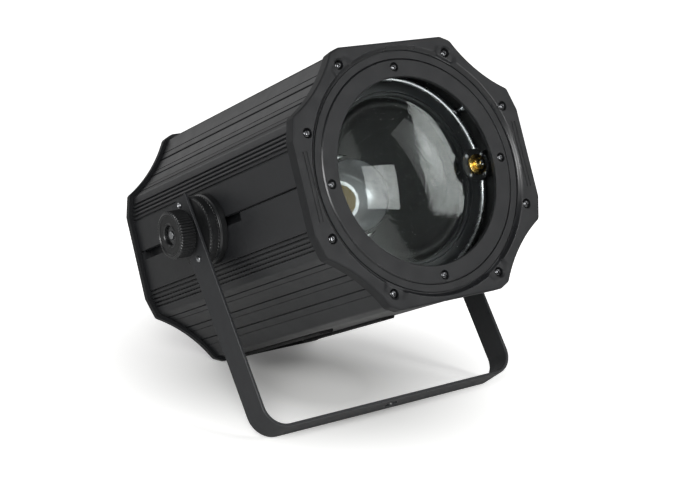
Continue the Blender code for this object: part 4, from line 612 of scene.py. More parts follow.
def arc_points(start, end, sag, steps):
    """Points of an arc bowed to the left of the way from start to end, without the start."""
    start, end = Vector(start), Vector(end)
    chord = end - start
    half = chord.length / 2
    left = Vector((-chord.y, chord.x)) / chord.length
    radius = (half * half + sag * sag) / (2 * sag)
    centre = (start + end) / 2 + left * (sag - radius)
    first = start - centre
    sweep = 2 * math.asin(half / radius)
    turn = 1 if first.x * (end - centre).y - first.y * (end - centre).x > 0 else -1
    points = []
    for i in range(1, steps + 1):
        angle = turn * sweep * i / steps
        points.append(tuple(centre + Matrix.Rotation(angle, 2) @ first))
    return points


def offset_path(path, distance):
    """The open path moved to its left, with mitred corners."""
    points = [Vector(p) for p in path]
    normals = []
    for a, b in zip(points, points[1:]):
        along = (b - a).normalized()
        normals.append(Vector((-along.y, along.x)))
    moved = []
    for i, point in enumerate(points):
        before = normals[max(i - 1, 0)]
        after = normals[min(i, len(normals) - 1)]
        mitre = (before + after).normalized()
        moved.append(tuple(point + mitre * (distance / mitre.dot(after))))
    return moved


def quarter(inset=0.0, lift=0.0):
    """From the middle of the right side up to the middle of the top, which can be lifted."""
    side_end = (HALF_WIDTH - SIDE_CHAMFER[0], SIDE_FLAT + SIDE_CHAMFER[1])
    top_end = (TOP_FLAT + TOP_CHAMFER[0], HALF_HEIGHT + lift - TOP_CHAMFER[1])
    path = [(HALF_WIDTH, 0), (HALF_WIDTH, SIDE_FLAT), side_end]
    path += arc_points(side_end, top_end, CORNER_SAG, CORNER_STEPS)
    path += [(TOP_FLAT, HALF_HEIGHT + lift), (0, HALF_HEIGHT + lift)]
    return eased(offset_path(path, inset), CORNER_ROUNDING, 3, closed=False)


def across_top(path):
    """The path and its mirror image, without the middle point that lies on a straight."""
    return path[:-1] + [(-x, y) for x, y in reversed(path[:-1])]


def outline(inset=0.0, lift=0.0):
    top = across_top(quarter(inset, lift)[1:])
    return top + [(-x, -y) for x, y in top]


def reach_of(points, angle):
    """How far out a closed outline lies from the axis at an angle."""
    dx, dy = math.cos(angle), math.sin(angle)
    best = 0.0
    for (ax, ay), (bx, by) in zip(points, points[1:] + points[:1]):
        ex, ey = bx - ax, by - ay
        denominator = dx * ey - dy * ex
        if abs(denominator) < 1e-12:
            continue
        far = (ax * ey - ay * ex) / denominator
        share = (ax * dy - ay * dx) / denominator
        if far > 0 and -1e-9 <= share <= 1 + 1e-9:
            best = max(best, far)
    return best


def lengths_along(path):
    total = [0.0]
    for a, b in zip(path, path[1:]):
        total.append(total[-1] + math.dist(a, b))
    return total


def point_along(path, distance):
    """The point and the left-hand normal at a distance along the path."""
    total = lengths_along(path)
    for i in range(len(path) - 1):
        if distance <= total[i + 1] or i == len(path) - 2:
            a, b = Vector(path[i]), Vector(path[i + 1])
            along = (b - a).normalized()
            return a + along * (distance - total[i]), Vector((-along.y, along.x))


# A groove's section across its width, as shares of the half width and of the depth
GROOVE_SECTION = ((-1.25, 0), (-1.0, 0.12), (-0.86, 0.55), (-0.74, 0.94), (-0.6, 1), (0.6, 1),
                  (0.74, 0.94), (0.86, 0.55), (1.0, 0.12), (1.25, 0))


def with_grooves(path, grooves):
    """The path with a rounded notch to its left for each (distance, width, depth)."""
    total = lengths_along(path)
    stops = [(s, tuple(p)) for s, p in zip(total, path)]
    for distance, width, depth in grooves:
        stops = [stop for stop in stops if abs(stop[0] - distance) > 0.66 * width]
        for across, sunk in GROOVE_SECTION:
            place, normal = point_along(path, distance + across * width / 2)
            stops.append((distance + across * width / 2, tuple(place + normal * depth * sunk)))
    return [point for _, point in sorted(stops)]


# Places of the corner grooves, as shares of the facet from the side up, and their widths
FACET_GROOVES = ((0.114, 0.0022), (0.214, 0.0009), (0.423, 0.0022), (0.524, 0.0009),
                 (0.714, 0.0022), (0.830, 0.0009))
# The side grooves: the lowest one's height, their spacing and their width
SIDE_GROOVES = (0.0354, 0.004, 0.0022)
# How wide the lower shell's grooves are beside the upper one's
LOWER_NARROWING = 0.65


def shell_section(start_height, sizes, narrow=1.0):
    """A half shell's section: the grooved outer side and back along the inner side."""
    outer = quarter(HOUSING_INSET, HOUSING_LIFT)
    side = outer[0][0]
    outer[0] = (side, start_height + 0.0010)
    total = lengths_along(outer)
    lowest, spacing, widest = SIDE_GROOVES
    grooves = [(lowest + i * spacing - outer[0][1], widest * narrow, sizes.side_groove_depth)
               for i in range(5)]
    facet = [s for s, (x, y) in zip(total, outer) if 0.0640 < x < 0.1152 and y > 0.059]
    first, last = min(facet), max(facet)
    grooves += [(first + (last - first) * share, width * narrow,
                 sizes.facet_groove_depth * width * narrow / widest)
                for share, width in FACET_GROOVES]
    inner = quarter(HOUSING_INSET + HOUSING_WALL, HOUSING_LIFT)
    inner[0] = (inner[0][0], start_height)
    lip = [(side - 0.0013, start_height)]
    grooved = across_top(lip + with_grooves(outer, grooves))
    return grooved + list(reversed(across_top(inner)))


# Fitting pieces to the frame

def fit(name, mesh, look, body="housing", place=BODY, stands_for=()):
    """Puts a piece in place in its finish, on the body it moves with, for the nodes it replaces."""
    piece = linked(name, mesh)
    piece.matrix_world = place
    if not mesh.materials:
        mesh.materials.append(finish(look))
    normals = piece.modifiers.new("even_normals", "WEIGHTED_NORMAL")
    normals.keep_sharp = True
    bpy.context.view_layer.update()
    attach(piece, body)
    if stands_for:
        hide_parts(*([stands_for] if isinstance(stands_for, str) else stands_for))
    return piece


def two_looks(mesh, look, other, test):
    """Gives the mesh two finishes: faces whose centre and normal pass the test get the other."""
    for name in (look, other):
        mesh.materials.append(finish(name))
    for polygon in mesh.polygons:
        polygon.material_index = 1 if test(polygon.center, polygon.normal) else 0


def outward(side):
    """Turns Z to point out of the body's left or right side."""
    return Matrix.Rotation(side * math.pi / 2, 4, "Y")


def rear_face(x, y):
    """A place on the rear panel with Z pointing out of it and X to the right seen from behind."""
    return BODY @ at(x, y, PANEL_REAR) @ Matrix.Rotation(math.pi, 4, "Y")


def counterbore(radius, level, seat):
    """A cutter for a screw's head, with a small chamfer where it meets the surface."""
    edge, shank, below, over = 0.0003, 0.0016, seat - 0.004, level + 0.006
    profile = [(0, over), (radius + edge + 0.006, over), (radius + edge, level),
               (radius, level - edge), (radius, seat), (shank, seat), (shank, below), (0, below)]
    return turned("bore", profile, 40)


def pan_screw(name):
    """A pan head screw with a cross recess, its seat at Z = 0."""
    radius, height, shank, depth = SCREWS[name]
    head = [(0, height), (0.42 * radius, 0.985 * height), (0.70 * radius, 0.90 * height),
            (0.88 * radius, 0.72 * height), (0.97 * radius, 0.45 * height), (radius, 0.18 * height),
            (radius, 0), (shank, 0), (shank, -depth), (0, -depth)]
    body = turned(name, head, 40)
    bars = []
    for degrees in (0, 90):
        bar = block("recess", (1.24 * radius, 0.27 * radius, height), (0, 0, 0.82 * height))
        for vertex in bar.vertices:
            if vertex.co.z < 0.6 * height:
                vertex.co.x *= 0.42
                vertex.co.y *= 0.7
        bar.transform(turn_z(degrees))
        bars.append(bar)
    return carved(name, body, *bars)


def add_screws(name, mesh, places, body="housing", look="zinc_plated_steel", stands_for=None):
    for i, (place, degrees) in enumerate(zip(places, SCREW_TURNS)):
        fit(f"{name}_{i + 1}", mesh, look, body, place @ turn_z(degrees),
            stands_for[i] if stands_for else ())


class PARCAN_OT_kept_parts(bpy.types.Operator):
    """Gives every part that is kept as it is its real finish"""
    bl_idname = "par_can.kept_parts"
    bl_label = "Kept parts"

    looks = {
        "glass_gasket": "moulded_rubber", "zoom_motor": "zinc_plated_steel",
        "led_module": "extruded_aluminium", "heat_sink": "extruded_aluminium",
        "power_supply": "extruded_aluminium", "control_board": "solder_masked_board",
    }

    def execute(self, context):
        for name, look in self.looks.items():
            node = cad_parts[name]
            for slot in node.material_slots:
                slot.material = finish(look)
        return {"FINISHED"}


class PARCAN_OT_housing(bpy.types.Operator):
    """Extrudes the two grooved shells, with the slots that the pivots slide in"""
    bl_idname = "par_can.housing"
    bl_label = "Housing shells"

    def execute(self, context):
        sizes = context.scene.par_can_sizes
        boss = rod("boss", BOSS_RADIUS, HOUSING_FRONT - 0.0005, HOUSING_REAR + 0.0005, 24)
        middle, deep = (SLOT_FRONT + SLOT_REAR) / 2, SLOT_FRONT - SLOT_REAR
        slots = block("slot", (0.3, SLOT_HEIGHT, deep), (0, SEAM_HEIGHT - SLOT_HEIGHT / 2, middle))
        channel = deep + 0.008
        for word, sign in (("upper", 1), ("lower", -1)):
            name, lower = f"housing_{word}_shell", sign < 0
            section = shell_section(sign * SEAM_HEIGHT + GAP / 2, sizes,
                                    LOWER_NARROWING if lower else 1.0)
            shell = extruded(name, [[(x, sign * y) for x, y in section]], HOUSING_REAR,
                             HOUSING_FRONT)
            shell = carved(name, shell, *([slots] if lower else []), sharp=48)
            places = [at(side * x, sign * y) for side in (-1, 1) for x, y in BEZEL_SCREWS]
            parts = [(shell, Matrix()), (copies("bosses", boss, places), Matrix())]
            if lower:
                # the channel behind each slot that the bolts' heads slide in
                for side in (-1, 1):
                    web = block("web", (0.0085, 0.001, channel), (side * 0.1135, -0.015, middle))
                    back = block("back", (0.001, 0.029, channel), (side * 0.1097, -0.001, middle))
                    parts += [(web, Matrix()), (back, Matrix())]
            fit(name, merged(name, *parts, sharp=48), "powder_coated_aluminium",
                stands_for=f"housing_{word}")
        return {"FINISHED"}


class PARCAN_OT_rest_strips(bpy.types.Operator):
    """Lays the two ribbed rubber strips under the housing"""
    bl_idname = "par_can.rest_strips"
    bl_label = "Rest strips"

    def execute(self, context):
        top, bottom, half = -0.1123, -0.1165, 0.008
        section = [(half, top), (-half, top), (-half, bottom + 0.0012), (-half + 0.0012, bottom)]
        for i in range(4):
            middle = -half + 0.0034 + i * 0.0031
            section += [(middle - 0.0006, bottom), (middle - 0.0004, bottom + 0.0011),
                        (middle + 0.0004, bottom + 0.0011), (middle + 0.0006, bottom)]
        section += [(half - 0.0012, bottom), (half, bottom + 0.0012)]
        strip = extruded("rest_strip_rubber", [section], -0.288, -0.148)
        for word, side in SIDES.items():
            fit(f"rest_strip_{word}_rubber", strip, "moulded_rubber",
                place=BODY @ at(side * 0.036, 0), stands_for=f"rest_strip_{word}")
        return {"FINISHED"}


def land_level(x, y):
    """The front's height at a point, lower on the pads of the top and bottom screws."""
    sunk = 0.0
    fade = 1 - smooth((math.hypot(x, y) - PAD_FADE[0]) / (PAD_FADE[1] - PAD_FADE[0]))
    for sx in (-1, 1):
        for sy in (-1, 1):
            axis = Vector((sx * BEZEL_SCREWS[0][0], sy * BEZEL_SCREWS[0][1])).normalized()
            if x * axis.x + y * axis.y > 0:
                across = abs(x * axis.y - y * axis.x)
                share = (across - PAD_HALF_WIDTH + PAD_BLEND) / (2 * PAD_BLEND)
                sunk = max(sunk, fade * (1 - smooth(share)))
    return LAND_LEVEL - (LAND_LEVEL - PAD_LEVEL) * sunk


def bezel_angles():
    """Angles round the bezel, closer together at the pads' edges and on the outline's corners."""
    angles = {round(2 * math.pi * i / 400, 6) for i in range(400)}
    for x, y in outline():
        angles.add(round(math.atan2(y, x) % (2 * math.pi), 6))
    for sx in (-1, 1):
        for sy in (-1, 1):
            axis = math.atan2(sy * BEZEL_SCREWS[0][1], sx * BEZEL_SCREWS[0][0])
            for side in (-1, 1):
                for radius in (0.112, 0.118):
                    for i in range(-5, 6):
                        turn = math.asin((PAD_HALF_WIDTH + i * PAD_BLEND / 4.5) / radius)
                        angles.add(round((axis + side * turn) % (2 * math.pi), 6))
    ordered = sorted(angles)
    return [a for a, b in zip(ordered, ordered[1:] + [ordered[0] + 7]) if b - a > 0.0004]


def lofted(name, angles, rows):
    """A ring through rows of points at the given angles; each row has its radii and its level."""
    bm = bmesh.new()
    grid = []
    for radii, level in rows:
        points = [(r * math.cos(a), r * math.sin(a)) for r, a in zip(radii, angles)]
        grid.append([bm.verts.new((x, y, level(x, y) if callable(level) else level))
                     for x, y in points])
    skin(bm, grid + grid[:1])
    return finish_mesh(bm, name)


def reaches(angles, inset=0.0, lift=0.0):
    edge = outline(inset, lift)
    return [reach_of(edge, a) for a in angles]


def edge_curve(steps):
    """How far a bezel's rounded edge lies in and down, from its side to its face."""
    turns = [math.pi / 2 * i / steps for i in range(steps + 1)]
    return [(BEZEL_EDGE * (1 - math.cos(t)), BEZEL_EDGE * (1 - math.sin(t))) for t in turns]


def bezel_mesh(name):
    """The front bezel as rows of points round its section, from its rear edge over the front."""
    angles = bezel_angles()
    rows = [(reaches(angles), BEZEL_SKIRT)]
    for inset, drop in edge_curve(4):
        rows.append((reaches(angles, inset), lambda x, y, drop=drop: land_level(x, y) - drop))
    outer = rows[-1][0]
    steps = 8
    for i in range(1, steps + 1):
        rows.append(([r + (RECESS_TOP - r) * i / steps for r in outer], land_level))

    def even(radius):
        return [radius] * len(angles)

    def sunk_level(share):
        fall = smooth(share)
        return lambda x, y: land_level(x, y) + (BAND_LEVEL - land_level(x, y)) * fall

    for i in range(1, steps + 1):
        share = i / steps
        rows.append((even(RECESS_TOP + (RECESS_RADIUS - RECESS_TOP) * share), sunk_level(share)))
    seat = -RING_THICKNESS - GAP
    bottom = BAND_LEVEL - RECESS_GROOVE
    glass_seat, lip = -0.0087, -0.011
    for radius, height in (
            (RECESS_RADIUS - 0.0002, bottom), (RECESS_RADIUS - 0.0010, bottom),
            (RECESS_RADIUS - 0.0014, BAND_LEVEL), (0.1054, BAND_LEVEL),
            (RING_OUTER + 0.0006, BAND_LEVEL), (RING_OUTER + GAP, BAND_LEVEL - 0.0003),
            (RING_OUTER + GAP, seat), (GLASS_RADIUS + GAP, seat), (GLASS_RADIUS + GAP, glass_seat),
            (GLASS_LEDGE, glass_seat), (GLASS_LEDGE, lip), (BARREL_OUTER + GAP, lip),
            (BARREL_OUTER + GAP, BEZEL_REAR), (COLLAR_RADIUS, BEZEL_REAR),
            (COLLAR_RADIUS, BEZEL_PLATE)):
        rows.append((even(radius), height))
    inner = reaches(angles, HOUSING_INSET - GAP, HOUSING_LIFT)
    rows += [(inner, BEZEL_PLATE), (inner, BEZEL_SKIRT)]
    return lofted(name, angles, rows)


class PARCAN_OT_front_bezel(bpy.types.Operator):
    """Moulds the front bezel with its recess, screw pads, flutes and counterbored screws"""
    bl_idname = "par_can.front_bezel"
    bl_label = "Front bezel"

    def execute(self, context):
        sizes = context.scene.par_can_sizes
        seats = []
        bores = []
        for x, y in BEZEL_SCREWS:
            pad = y > x
            seat = (PAD_LEVEL if pad else LAND_LEVEL) - 0.0031
            level = PAD_LEVEL + 0.0006 if pad else LAND_LEVEL
            seats += four_ways(x, y, seat)
            bores.append(copies("bores", counterbore(0.0045, level, seat), four_ways(x, y)))
        half_width = 0.0008
        round_radius = (half_width ** 2 + sizes.flute_depth ** 2) / (2 * sizes.flute_depth)
        flute = turned("flute", eased([(0, 0.031), (round_radius, 0.0302), (round_radius, -0.0302),
                                       (0, -0.031)], 0.001, 4, closed=False), 20)
        flute.transform(Matrix.Rotation(math.pi / 2, 4, "X"))
        lift = LAND_LEVEL + round_radius - sizes.flute_depth
        flutes = copies("flutes", flute, [at(side * (HALF_WIDTH - offset), 0, lift)
                                          for side in (-1, 1) for offset in (0.0072, 0.0107)])
        bezel = carved("front_bezel_moulding", bezel_mesh("front_bezel_moulding"), *bores, flutes)
        two_looks(bezel, "moulded_abs", "rubbed_abs", lambda centre, normal: 0.2 < normal.z < 0.97
                  and RECESS_RADIUS < math.hypot(centre.x, centre.y) < RECESS_TOP + 0.0002)
        fit("front_bezel_moulding", bezel, "moulded_abs", stands_for="front_bezel")
        add_screws("bezel_screw", pan_screw("bezel_screw"), [BODY @ seat for seat in seats],
                   look="black_nickel_steel")
        return {"FINISHED"}


class PARCAN_OT_lens_ring(bpy.types.Operator):
    """Turns the ring that holds the front glass, with its four counterbored screws"""
    bl_idname = "par_can.lens_ring"
    bl_label = "Lens ring"

    def execute(self, context):
        chamfer = 0.0007
        profile = [(RING_INNER, -chamfer), (RING_INNER + chamfer, 0), (RING_OUTER - 0.0012, 0),
                   (RING_OUTER, -0.0009), (RING_OUTER, -RING_THICKNESS),
                   (RING_INNER, -RING_THICKNESS)]
        ring = turned("lens_ring_moulding", eased(profile, 0.0004, 2), 144, closed=True)
        seat = -0.0027
        places = round_axis(RING_SCREW_CIRCLE, (0, 90, 180, 270))
        bores = copies("bores", counterbore(0.0042, 0, seat), places)
        ring = carved("lens_ring_moulding", ring, bores)
        two_looks(ring, "moulded_abs", "rubbed_abs", lambda centre, normal: 0.2 < normal.z < 0.99
                  and math.hypot(centre.x, centre.y) > RING_OUTER - 0.0014)
        fit("lens_ring_moulding", ring, "moulded_abs", stands_for="lens_ring")
        glass = rod("front_glass_disc", GLASS_RADIUS, -0.0043, -0.0073, 128, 0.0003)
        fit("front_glass_disc", glass, "float_glass", stands_for="front_glass")
        add_screws("ring_screw", pan_screw("ring_screw"),
                   [BODY @ at(0, 0, seat) @ place for place in places], look="black_nickel_steel",
                   stands_for=[f"lens_ring_screw_{i}" for i in range(1, 5)])
        return {"FINISHED"}


class PARCAN_OT_barrel(bpy.types.Operator):
    """Builds the barrel with its window, and the rods that guide the zoom carriage"""
    bl_idname = "par_can.barrel"
    bl_label = "Barrel and guide rods"

    def execute(self, context):
        top, bottom = -0.0113, -0.1057
        barrel = tube("barrel_wall", BARREL_INNER, BARREL_OUTER, top, bottom, 128)
        window = block("window", (0.03, 0.025, 0.080), (BARREL_INNER, 0, -0.060), 0.003, 4)
        fit("barrel_wall", carved("barrel_wall", barrel, window), "matt_black_paint",
            stands_for="barrel")
        guide = rod("guide_rod", 0.003, top, bottom, 32)
        for i, place in enumerate(round_axis(ROD_CIRCLE, (ROD_ANGLE, ROD_ANGLE + 180)), 1):
            fit(f"guide_rod_{i}_steel", guide, "chromed_wire", place=BODY @ place,
                stands_for=f"guide_rod_{i}")
        return {"FINISHED"}


class PARCAN_OT_zoom_carriage(bpy.types.Operator):
    """Builds the carriage with its lens, retainer, rim and the plate that carries the nut"""
    bl_idname = "par_can.zoom_carriage"
    bl_label = "Zoom carriage"

    def execute(self, context):
        front, rear = CARRIAGE_FRONT, CARRIAGE_FRONT - CARRIAGE_DEPTH
        seat = LENS_EDGE_FRONT - LENS_EDGE - GAP
        profile = [(LENS_RADIUS + GAP, front), (CARRIAGE_RADIUS, front), (CARRIAGE_RADIUS, rear),
                   (CARRIAGE_BORE, rear), (CARRIAGE_BORE, seat), (LENS_RADIUS + GAP, seat)]
        cup = turned("cup", eased(profile, 0.0006, 2), 128, closed=True)
        ear = tube("ear", 0.0058, 0.015, EAR_FRONT, EAR_FRONT - EAR_THICKNESS, 48, 0.0004)
        post = block("post", (0.0138, 0.018, 0.0032), (0.0863, 0, front + 0.0009), 0.0003)
        guide = block("guide", (0.0155, 0.016, 0.012), (0.09375, 0, rear + 0.0065), 0.001)
        parts = [(cup, Matrix()), (ear, at(SCREW_AXIS, 0)), (post, Matrix())]
        parts += [(guide, turn_z(degrees)) for degrees in (ROD_ANGLE, ROD_ANGLE + 180)]
        fit("lens_carriage_moulding", merged("lens_carriage_moulding", *parts), "moulded_abs",
            "carriage", stands_for="lens_carriage")
        bead = hoop("carriage_bead", CARRIAGE_RADIUS - 0.0024, front + 0.0003, 0.0026, 160, 16)
        fit("carriage_bead", bead, "turned_aluminium", "carriage")
        self.lens()
        self.nut()
        return {"FINISHED"}

    def lens(self):
        steps = 20
        curve = (LENS_RADIUS ** 2 + LENS_BULGE ** 2) / (2 * LENS_BULGE)
        sweep = math.asin(LENS_RADIUS / curve)
        apex = LENS_EDGE_FRONT + LENS_BULGE
        profile = [(curve * math.sin(t), apex - curve * (1 - math.cos(t)))
                   for t in (sweep * i / steps for i in range(steps + 1))]
        rear = LENS_EDGE_FRONT - LENS_EDGE
        profile += [(LENS_RADIUS, rear), (0, rear)]
        lens = turned("zoom_lens_clear", profile, 128, sharp=25)
        two_looks(lens, "moulded_lens", "polished_lens_back",
                  lambda centre, normal: normal.z < -0.9)
        fit("zoom_lens_clear", lens, "moulded_lens", "carriage", stands_for="zoom_lens")
        inner = LENS_RADIUS - 0.0026
        sag = curve - math.sqrt(curve ** 2 - inner ** 2)
        low = LENS_EDGE_FRONT + GAP
        profile = [(inner, low + 0.0016), (LENS_RADIUS, low + 0.0016), (LENS_RADIUS, low),
                   (inner, apex - sag + GAP)]
        retainer = turned("lens_retainer_ring", eased(profile, 0.0002, 2), 128, closed=True)
        fit("lens_retainer_ring", retainer, "moulded_abs", "carriage", stands_for="lens_retainer")

    def nut(self):
        seat = EAR_FRONT + GAP
        bore, neck, flange = 0.0033, 0.0055, 0.0095
        profile = [(bore, seat + 0.006), (neck, seat + 0.006), (neck, seat + 0.0025),
                   (flange, seat + 0.0025), (flange, seat), (neck, seat), (neck, -0.027),
                   (bore, -0.027)]
        nut = turned("drive_nut_brass", eased(profile, 0.0004, 2), 48, closed=True)
        fit("drive_nut_brass", nut, "turned_brass", "carriage", BODY @ at(SCREW_AXIS, 0),
            "drive_nut")
        places = round_axis(0.0124, (45, 135, 225, 315), SCREW_AXIS, EAR_FRONT)
        add_screws("nut_screw", pan_screw("nut_screw"), [BODY @ place for place in places],
                   "carriage")


class PARCAN_OT_lead_screw(bpy.types.Operator):
    """Cuts the lead screw that drives the zoom carriage, with its steep four-start thread"""
    bl_idname = "par_can.lead_screw"
    bl_label = "Lead screw"

    def execute(self, context):
        top, bottom, lead, starts = -0.013, -0.115, 0.024, 4
        around, rows = 24, 110
        bm = bmesh.new()
        grid = []
        for k in range(rows + 1):
            height = top + (bottom - top) * k / rows
            row = []
            for i in range(around):
                angle = 2 * math.pi * i / around
                wave = math.cos(starts * (angle - 2 * math.pi * height / lead))
                radius = 0.00265 + 0.00035 * max(-1.0, min(1.0, 1.8 * wave))
                if k in (0, rows):
                    radius = 0.0021
                point = (radius * math.cos(angle), radius * math.sin(angle), height)
                row.append(bm.verts.new(point))
            grid.append(row)
        skin(bm, grid, caps=True)
        fit("lead_screw_steel", finish_mesh(bm, "lead_screw_steel"), "chromed_wire", "zoom_screw",
            BODY @ at(SCREW_AXIS, 0), "lead_screw")
        return {"FINISHED"}


class PARCAN_OT_lamp(bpy.types.Operator):
    """Builds the bulkhead, the reflector and the coated diodes behind the lens"""
    bl_idname = "par_can.lamp"
    bl_label = "Lamp"

    def execute(self, context):
        edge = outline(HOUSING_INSET + HOUSING_WALL + GAP)
        wall = extruded("bulkhead_plate", [edge, circle(0.037, 96)], BULKHEAD_REAR, BULKHEAD_FRONT)
        notch = rod("notch", BOSS_RADIUS + GAP, 0, BODY_REAR, 24)
        places = [place for x, y in BEZEL_SCREWS for place in four_ways(x, y)]
        passage = rod("passage", 0.0036, 0, BODY_REAR, 24)
        passage.transform(at(SCREW_AXIS, 0))
        wall = carved("bulkhead_plate", wall, copies("notches", notch, places), passage)
        # The bulkhead's near-black paint is partly painted shade inside the lamp
        fit("bulkhead_plate", wall, "matt_black_paint", stands_for="bulkhead")
        mouth, throat, front, rear = 0.030, 0.016, -0.0915, -0.1060
        steps = 10
        inner = [(throat + (mouth - throat) * math.sqrt(share), rear + (front - rear) * share)
                 for share in (i / steps for i in range(steps, -1, -1))]
        outer = [(radius + 0.002, height) for radius, height in reversed(inner)]
        reflector = turned("reflector_cup", inner + outer, 96, closed=True)
        fit("reflector_cup", reflector, "metallised_reflector", stands_for="reflector")
        rim = tube("reflector_rim", mouth - 0.0004, mouth + 0.0026, front + 0.0008,
                   front - 0.0040, 96)
        fit("reflector_rim", rim, "matt_black_paint")
        base = -0.1058
        dome = [(0, base + 0.0010), (0.010, base + 0.0009), (0.0126, base + 0.0006), (0.013, base),
                (0, base)]
        fit("diode_coating", turned("diode_coating", dome, 64), "phosphor_coating",
            stands_for="led_emitter")
        return {"FINISHED"}


class PARCAN_OT_fan(bpy.types.Operator):
    """Builds the fan with its twisted blades, frame and wire guard"""
    bl_idname = "par_can.fan"
    bl_label = "Fan"

    def execute(self, context):
        place = BODY @ at(0, FAN_HEIGHT)
        rear, front = -0.3064, -0.2814
        plate = extruded("plate", [rectangle(0.092, 0.092, 0.005), circle(FAN_BORE, 96)], rear,
                         front)
        hub = tube("hub", 0.0033, FAN_HUB, rear + 0.0035, rear + 0.0005, 48)
        strut = block("strut", (0.0305, 0.005, 0.002), (0.02925, 0, rear + 0.002), 0.0005)
        parts = [(plate, Matrix()), (hub, Matrix())]
        parts += [(strut, turn_z(degrees)) for degrees in (0, 90, 180, 270)]
        fit("fan_frame_moulding", merged("fan_frame_moulding", *parts), "moulded_abs", place=place,
            stands_for="fan_frame")
        self.rotor(place, front - 0.001, rear + 0.0038)
        self.guard(context.scene.par_can_sizes.guard_wire)
        return {"FINISHED"}

    def rotor(self, place, front, rear):
        bolt = 0.003
        profile = [(0, front), (FAN_HUB, front), (FAN_HUB, rear), (bolt, rear),
                   (bolt, rear - 0.0035), (0, rear - 0.0035)]
        hub = turned("hub", eased(profile, 0.002, 3, closed=False), 64)
        middle = (front + rear) / 2
        bm = bmesh.new()
        across, along, blades = 9, 8, 7
        for blade in range(blades):
            turn = Matrix.Rotation(2 * math.pi * blade / blades, 4, "Z")
            sheets = []
            for thick in (0.0007, -0.0007):
                rows = []
                for i in range(along + 1):
                    share = i / along
                    radius = 0.0155 + (0.0400 - 0.0155) * share
                    pitch = math.radians(46 - 16 * share)
                    chord = 0.019 + 0.005 * share
                    row = []
                    for k in range(across + 1):
                        s = k / across - 0.5
                        camber = 0.0022 * (1 - 4 * s * s)
                        edge = thick * (1 - (2 * s) ** 4) + 0.0001 * (1 if thick > 0 else -1)
                        tangent = s * chord * math.cos(pitch) - (camber + edge) * math.sin(pitch)
                        height = s * chord * math.sin(pitch) + (camber + edge) * math.cos(pitch)
                        angle = tangent / radius
                        point = (radius * math.cos(angle), radius * math.sin(angle),
                                 middle + height)
                        row.append(bm.verts.new(turn @ Vector(point)))
                    rows.append(row)
                sheets.append(rows)
            for rows in sheets:
                skin(bm, rows, looped=False)
            for end in (0, -1):
                skin(bm, [[row[end] for row in rows] for rows in sheets], looped=False)
            for end in (0, -1):
                skin(bm, [rows[end] for rows in sheets], looped=False)
        parts = (hub, Matrix()), (finish_mesh(bm, "blades"), Matrix())
        fit("fan_rotor_moulding", merged("fan_rotor_moulding", *parts), "moulded_nylon", "fan",
            place, "fan_rotor")

    def guard(self, wire):
        place = rear_face(0, FAN_HEIGHT)
        height = 0.0023 - wire
        parts = [(hoop("hoop", radius, height, wire, 96), Matrix())
                 for radius in (0.0458, 0.0323, 0.0188)]
        parts.append((hoop("hoop", 0.0065, height, wire, 48), Matrix()))
        spoke = rod("spoke", wire, 0.0551, 0.0060, 10)
        spoke.transform(Matrix.Rotation(math.pi / 2, 4, "Y"))
        for degrees in (45, 135, 225, 315):
            spin = turn_z(degrees)
            parts.append((spoke, at(0, 0, height - 0.0002) @ spin))
            parts.append((hoop("hoop", 0.0033, height, wire, 24), spin @ at(0.0583, 0)))
        fit("fan_guard_wire", merged("fan_guard_wire", *parts), "chromed_wire", place=place,
            stands_for="fan_guard")
        corner = 0.04125
        add_screws("fan_screw", pan_screw("fan_screw"),
                   [place @ spot for spot in four_ways(corner, corner, 0.0006)])


class PARCAN_OT_rear_bezel(bpy.types.Operator):
    """Moulds the rear bezel round its opening, with eight screws"""
    bl_idname = "par_can.rear_bezel"
    bl_label = "Rear bezel"

    def execute(self, context):
        angles = bezel_angles()
        rows = [(reaches(angles), REAR_BEZEL_FRONT)]
        rows += [(reaches(angles, inset), BODY_REAR + drop) for inset, drop in edge_curve(5)]
        opening = reaches(angles, 0.018)
        pocket = reaches(angles, HOUSING_INSET - GAP, HOUSING_LIFT)
        rows += [(reaches(angles, 0.0172), BODY_REAR),
                 (reaches(angles, 0.0178), BODY_REAR + 0.0003),
                 (opening, BODY_REAR + 0.001), (opening, REAR_FLOOR), (pocket, REAR_FLOOR),
                 (pocket, REAR_BEZEL_FRONT)]
        seat = BODY_REAR + 0.0021
        backwards = Matrix.Rotation(math.pi, 4, "X")
        places = [place for x, y in BEZEL_SCREWS for place in four_ways(x, y)]
        bore = counterbore(0.0045, -BODY_REAR, -seat)
        bore.transform(backwards)
        body = carved("rear_bezel_moulding", lofted("rear_bezel_moulding", angles, rows),
                      copies("bores", bore, places))
        fit("rear_bezel_moulding", body, "moulded_abs", stands_for="rear_bezel")
        add_screws("rear_screw", pan_screw("rear_screw"),
                   [BODY @ place @ at(0, 0, seat) @ backwards for place in places])
        return {"FINISHED"}


class PARCAN_OT_rear_panel(bpy.types.Operator):
    """Cuts the rear panel's openings for the fan, display, buttons, sockets and fuse"""
    bl_idname = "par_can.rear_panel"
    bl_label = "Rear panel"

    def execute(self, context):
        holes = [circle(FAN_BORE, 96, (0, FAN_HEIGHT)),
                 rectangle(0.0586, 0.0246, 0.0008, (DISPLAY_PLACE, CONTROLS_HEIGHT))]
        holes += [circle(0.0048, 32, (x, CONTROLS_HEIGHT)) for x in BUTTON_PLACES]
        holes += [circle(0.0120, 48, (x, SOCKETS_HEIGHT)) for x in SOCKETS.values()]
        holes.append(circle(0.0065, 32, (FUSE_PLACE, CONTROLS_HEIGHT)))
        panel = extruded("rear_panel_plate", [outline(HOUSING_INSET + GAP), *holes], PANEL_REAR,
                         PANEL_FRONT)
        fit("rear_panel_plate", panel, "powder_coated_aluminium", stands_for="rear_panel")
        return {"FINISHED"}


